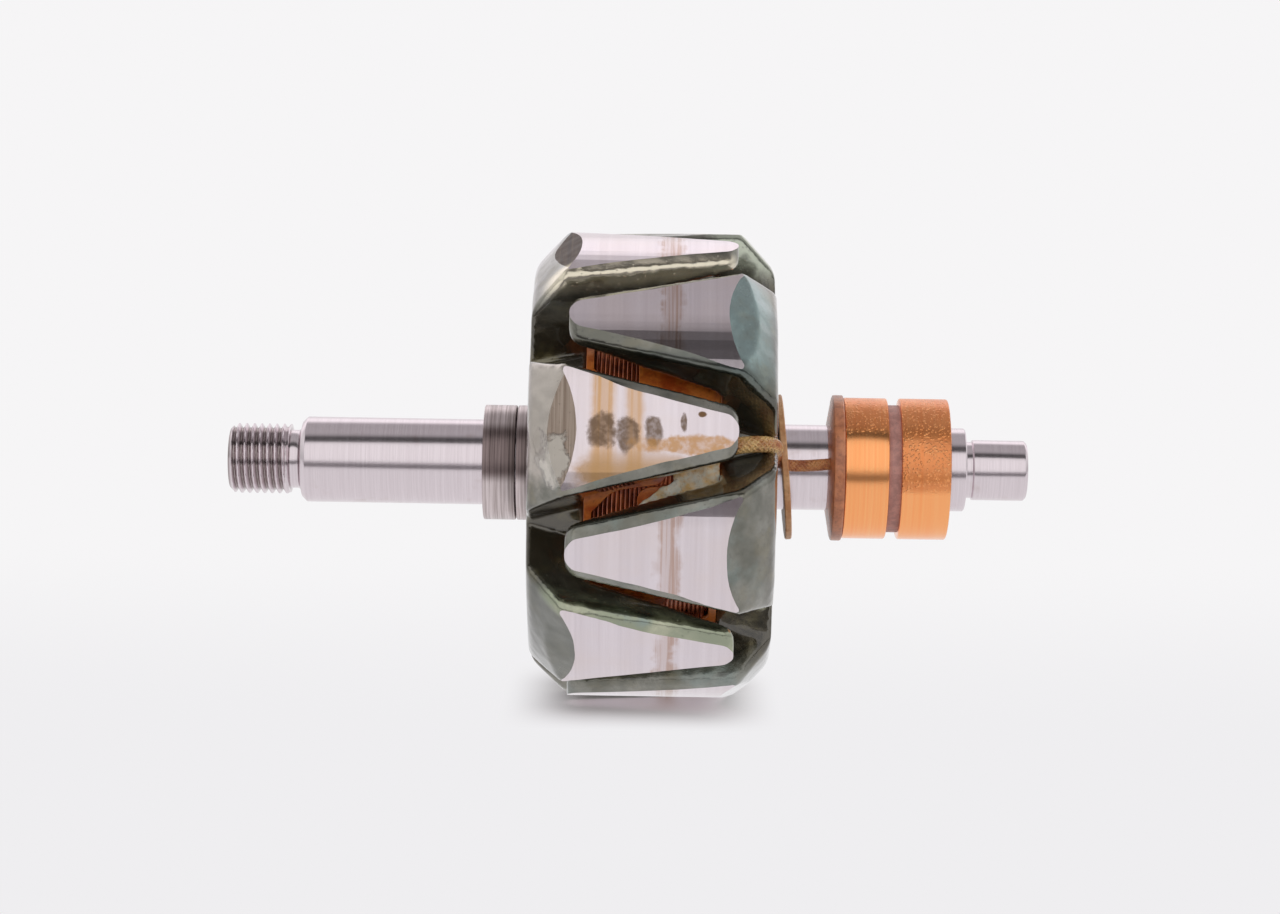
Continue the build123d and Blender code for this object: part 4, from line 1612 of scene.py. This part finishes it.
# %% The two looks of the table
WHITE_NEAR = paint(239, 238, 240)
WHITE_FAR = paint(246, 245, 246)
FAR_FADE = (-0.05, 0.2)
floor_material, tree, surface = new_material("pale_table")
surface.inputs["Base Color"].default_value = (0.76, 0.72, 0.73, 1)
surface.inputs["Roughness"].default_value = 0.8
surface.inputs["Specular IOR Level"].default_value = 0.0
place = add_node(tree, "ShaderNodeTexCoord")
parts = add_node(tree, "ShaderNodeSeparateXYZ")
feed(tree, parts.inputs[0], place.outputs["Object"])
white = mix_colours(tree, fade(tree, parts.outputs["Y"], *FAR_FADE), WHITE_NEAR, WHITE_FAR)
plain = add_node(tree, "ShaderNodeEmission")
feed(tree, plain.inputs["Color"], white)
lift = add_node(tree, "ShaderNodeEmission")
lift.inputs["Color"].default_value = (0.985, 0.98, 1.0, 1)
lift.inputs["Strength"].default_value = 0.03
lifted = add_node(tree, "ShaderNodeAddShader")
feed(tree, lifted.inputs[0], surface.outputs[0])
feed(tree, lifted.inputs[1], lift.outputs[0])

# %% Which look shows where
# The shadow's middle on the table, and where it starts to fade and is gone, in metres.
SHADOW_ALONG, SHADOW_ACROSS = 0.002, -0.004
ALONG_FADE = (0.01, 0.028)
ACROSS_FADE = (0.01, 0.036)
across = fade(tree, apart(tree, parts.outputs["Y"], SHADOW_ACROSS), *ACROSS_FADE)
along = fade(tree, apart(tree, parts.outputs["X"], SHADOW_ALONG), *ALONG_FADE)
path = add_node(tree, "ShaderNodeLightPath")
in_shadow = times(tree, inverse(tree, across), inverse(tree, along))
in_shadow = times(tree, in_shadow, path.outputs["Is Camera Ray"])
near_or_far = add_node(tree, "ShaderNodeMixShader")
feed(tree, near_or_far.inputs[0], inverse(tree, in_shadow))
feed(tree, near_or_far.inputs[1], lifted.outputs[0])
feed(tree, near_or_far.inputs[2], plain.outputs[0])
mixed = add_node(tree, "ShaderNodeMixShader")
feed(tree, mixed.inputs[0], larger(tree, path.outputs["Is Camera Ray"], path.outputs["Is Glossy Ray"]))
feed(tree, mixed.inputs[1], surface.outputs[0])
feed(tree, mixed.inputs[2], near_or_far.outputs[0])
feed(tree, tree.nodes["Material Output"].inputs["Surface"], mixed.outputs[0])
floor.data.materials.append(floor_material)
print("table finish:", len(tree.nodes), "nodes")

# %% [markdown]
# ## Studio
#
# Polished steel is only as good as what it mirrors. The photograph's bands tell what stood round
# the rotor: a wide softbox behind the camera, a dark gap above it, a grey ceiling, a bright panel
# high at the back, and a narrow dark edge low in front. Lamps alone would leave the steel black
# between them. So a large sphere round the rotor carries these bands as light of its own. Its
# brightness follows the height angle, seen along the shaft: 0 is behind the camera, 90 overhead
# and 180 at the back. Past both ends of the shaft it is plain grey. The camera doesn't see the
# sphere. It sees a plain near-white world behind the rotor.

# %% World
WORLD_GREY = paint(120, 120, 120)
world = bpy.data.worlds.new("white_studio")
bpy.context.scene.world = world
world.use_nodes = True
tree = world.node_tree
path = add_node(tree, "ShaderNodeLightPath")
seen = larger(tree, path.outputs["Is Camera Ray"], path.outputs["Is Glossy Ray"])
seen = larger(tree, seen, path.outputs["Is Transmission Ray"])
feed(tree, tree.nodes["Background"].inputs["Color"], mix_colours(tree, seen, WORLD_GREY, WHITE_FAR))
print("world:", world.name)

# %% Shape of the walls
WALLS_RADIUS = 6.0
bpy.ops.mesh.primitive_uv_sphere_add(
    segments=48, ring_count=24, radius=WALLS_RADIUS, location=(STAGE_CENTRE, 0.0, 0.0)
)
walls = bpy.context.object
walls.name = "studio_walls"
print("walls:", len(walls.data.polygons), "faces")

# %% Brightness by height angle
# Each stop has a height angle in degrees and a brightness.
WALLS = [
    (-180, 0.9), (-30, 0.9), (-10, 0.7), (0, 0.3), (54, 0.3), (57, 0.06), (73, 0.06), (76, 0.32),
    (84, 0.5), (124, 0.45), (131, 0.9), (137, 1.3), (152, 1.2), (160, 0.9), (180, 0.9),
]
WALL_TINT = (1.0, 0.965, 0.99)
walls_material, tree, _ = new_material("studio_walls")
place = add_node(tree, "ShaderNodeTexCoord")
direction = add_node(tree, "ShaderNodeVectorMath", operation="NORMALIZE")
feed(tree, direction.inputs[0], place.outputs["Object"])
parts = add_node(tree, "ShaderNodeSeparateXYZ")
feed(tree, parts.inputs[0], direction.outputs[0])
turn = maths(tree, "ARCTAN2", parts.outputs["Z"], times(tree, parts.outputs["Y"], -1.0))
ramp = add_node(tree, "ShaderNodeValToRGB")
feed(tree, ramp.inputs[0], plus(tree, maths(tree, "DIVIDE", turn, 2 * math.pi), 0.5))
stops = ramp.color_ramp.elements
stops[0].position = 0.0
stops[1].position = 1.0
for degrees, brightness in WALLS:
    if degrees == -180:
        stop = stops[0]
    elif degrees == 180:
        stop = stops[-1]
    else:
        stop = stops.new(degrees / 360 + 0.5)
    stop.color = (*[brightness * tint for tint in WALL_TINT], 1)
print("walls:", len(stops), "stops")

# %% Plain grey past the ends of the shaft
SIDE_FADE = (0.6, 0.92)
SIDE_LOW, SIDE_HIGH = 0.5, 0.95
side_level = mix_numbers(tree, fade(tree, parts.outputs["Z"], -0.2, 0.6), SIDE_LOW, SIDE_HIGH)
side_colour = add_node(tree, "ShaderNodeCombineColor")
for channel in range(3):
    feed(tree, side_colour.inputs[channel], side_level)
aside = fade(tree, maths(tree, "ABSOLUTE", parts.outputs["X"]), *SIDE_FADE)
glow = add_node(tree, "ShaderNodeEmission")
feed(tree, glow.inputs["Color"], mix_colours(tree, aside, ramp.outputs[0], side_colour.outputs[0]))
feed(tree, tree.nodes["Material Output"].inputs["Surface"], glow.outputs[0])
walls.data.materials.append(walls_material)
walls.visible_camera = False

# %% Softbox
SOFTBOX_HEIGHT = 1.3
SOFTBOX_WIDTH = 2.6
SOFTBOX_DISTANCE = 1.25
SOFTBOX_BRIGHTNESS = 0.72
SOFTBOX_ANGLE = math.radians(29)
lamp_data = bpy.data.lights.new("softbox", "AREA")
lamp_data.shape = "RECTANGLE"
lamp_data.size = SOFTBOX_WIDTH
lamp_data.size_y = SOFTBOX_HEIGHT
lamp_data.energy = SOFTBOX_BRIGHTNESS * math.pi * SOFTBOX_WIDTH * SOFTBOX_HEIGHT
lamp = bpy.data.objects.new("softbox", lamp_data)
bpy.context.scene.collection.objects.link(lamp)
towards = Vector((0.0, -math.cos(SOFTBOX_ANGLE), math.sin(SOFTBOX_ANGLE)))
lamp.location = towards * SOFTBOX_DISTANCE + Vector((STAGE_CENTRE, 0, 0))
lamp.rotation_mode = "QUATERNION"
lamp.rotation_quaternion = towards.to_track_quat("Z", "Y")
print("softbox", round(lamp_data.energy, 1), "W")

# %% Dark edge in front
EDGE_PLACE = -0.56
EDGE_LIFT = 0.001
EDGE_WIDTH = 2.4
EDGE_DEPTH = 0.776
bpy.ops.mesh.primitive_plane_add(size=1.0, location=(STAGE_CENTRE, EDGE_PLACE, FLOOR_HEIGHT + EDGE_LIFT))
edge = bpy.context.object
edge.name = "dark_edge"
edge.scale = (EDGE_WIDTH, EDGE_DEPTH, 1.0)
bpy.ops.object.transform_apply(location=False, rotation=False, scale=True)
edge_material, _, surface = new_material("dark_edge")
surface.inputs["Base Color"].default_value = (0.19, 0.18, 0.19, 1)
surface.inputs["Roughness"].default_value = 1.0
edge.data.materials.append(edge_material)
edge.visible_camera = False
print("dark edge:", EDGE_WIDTH, "by", EDGE_DEPTH, "m")
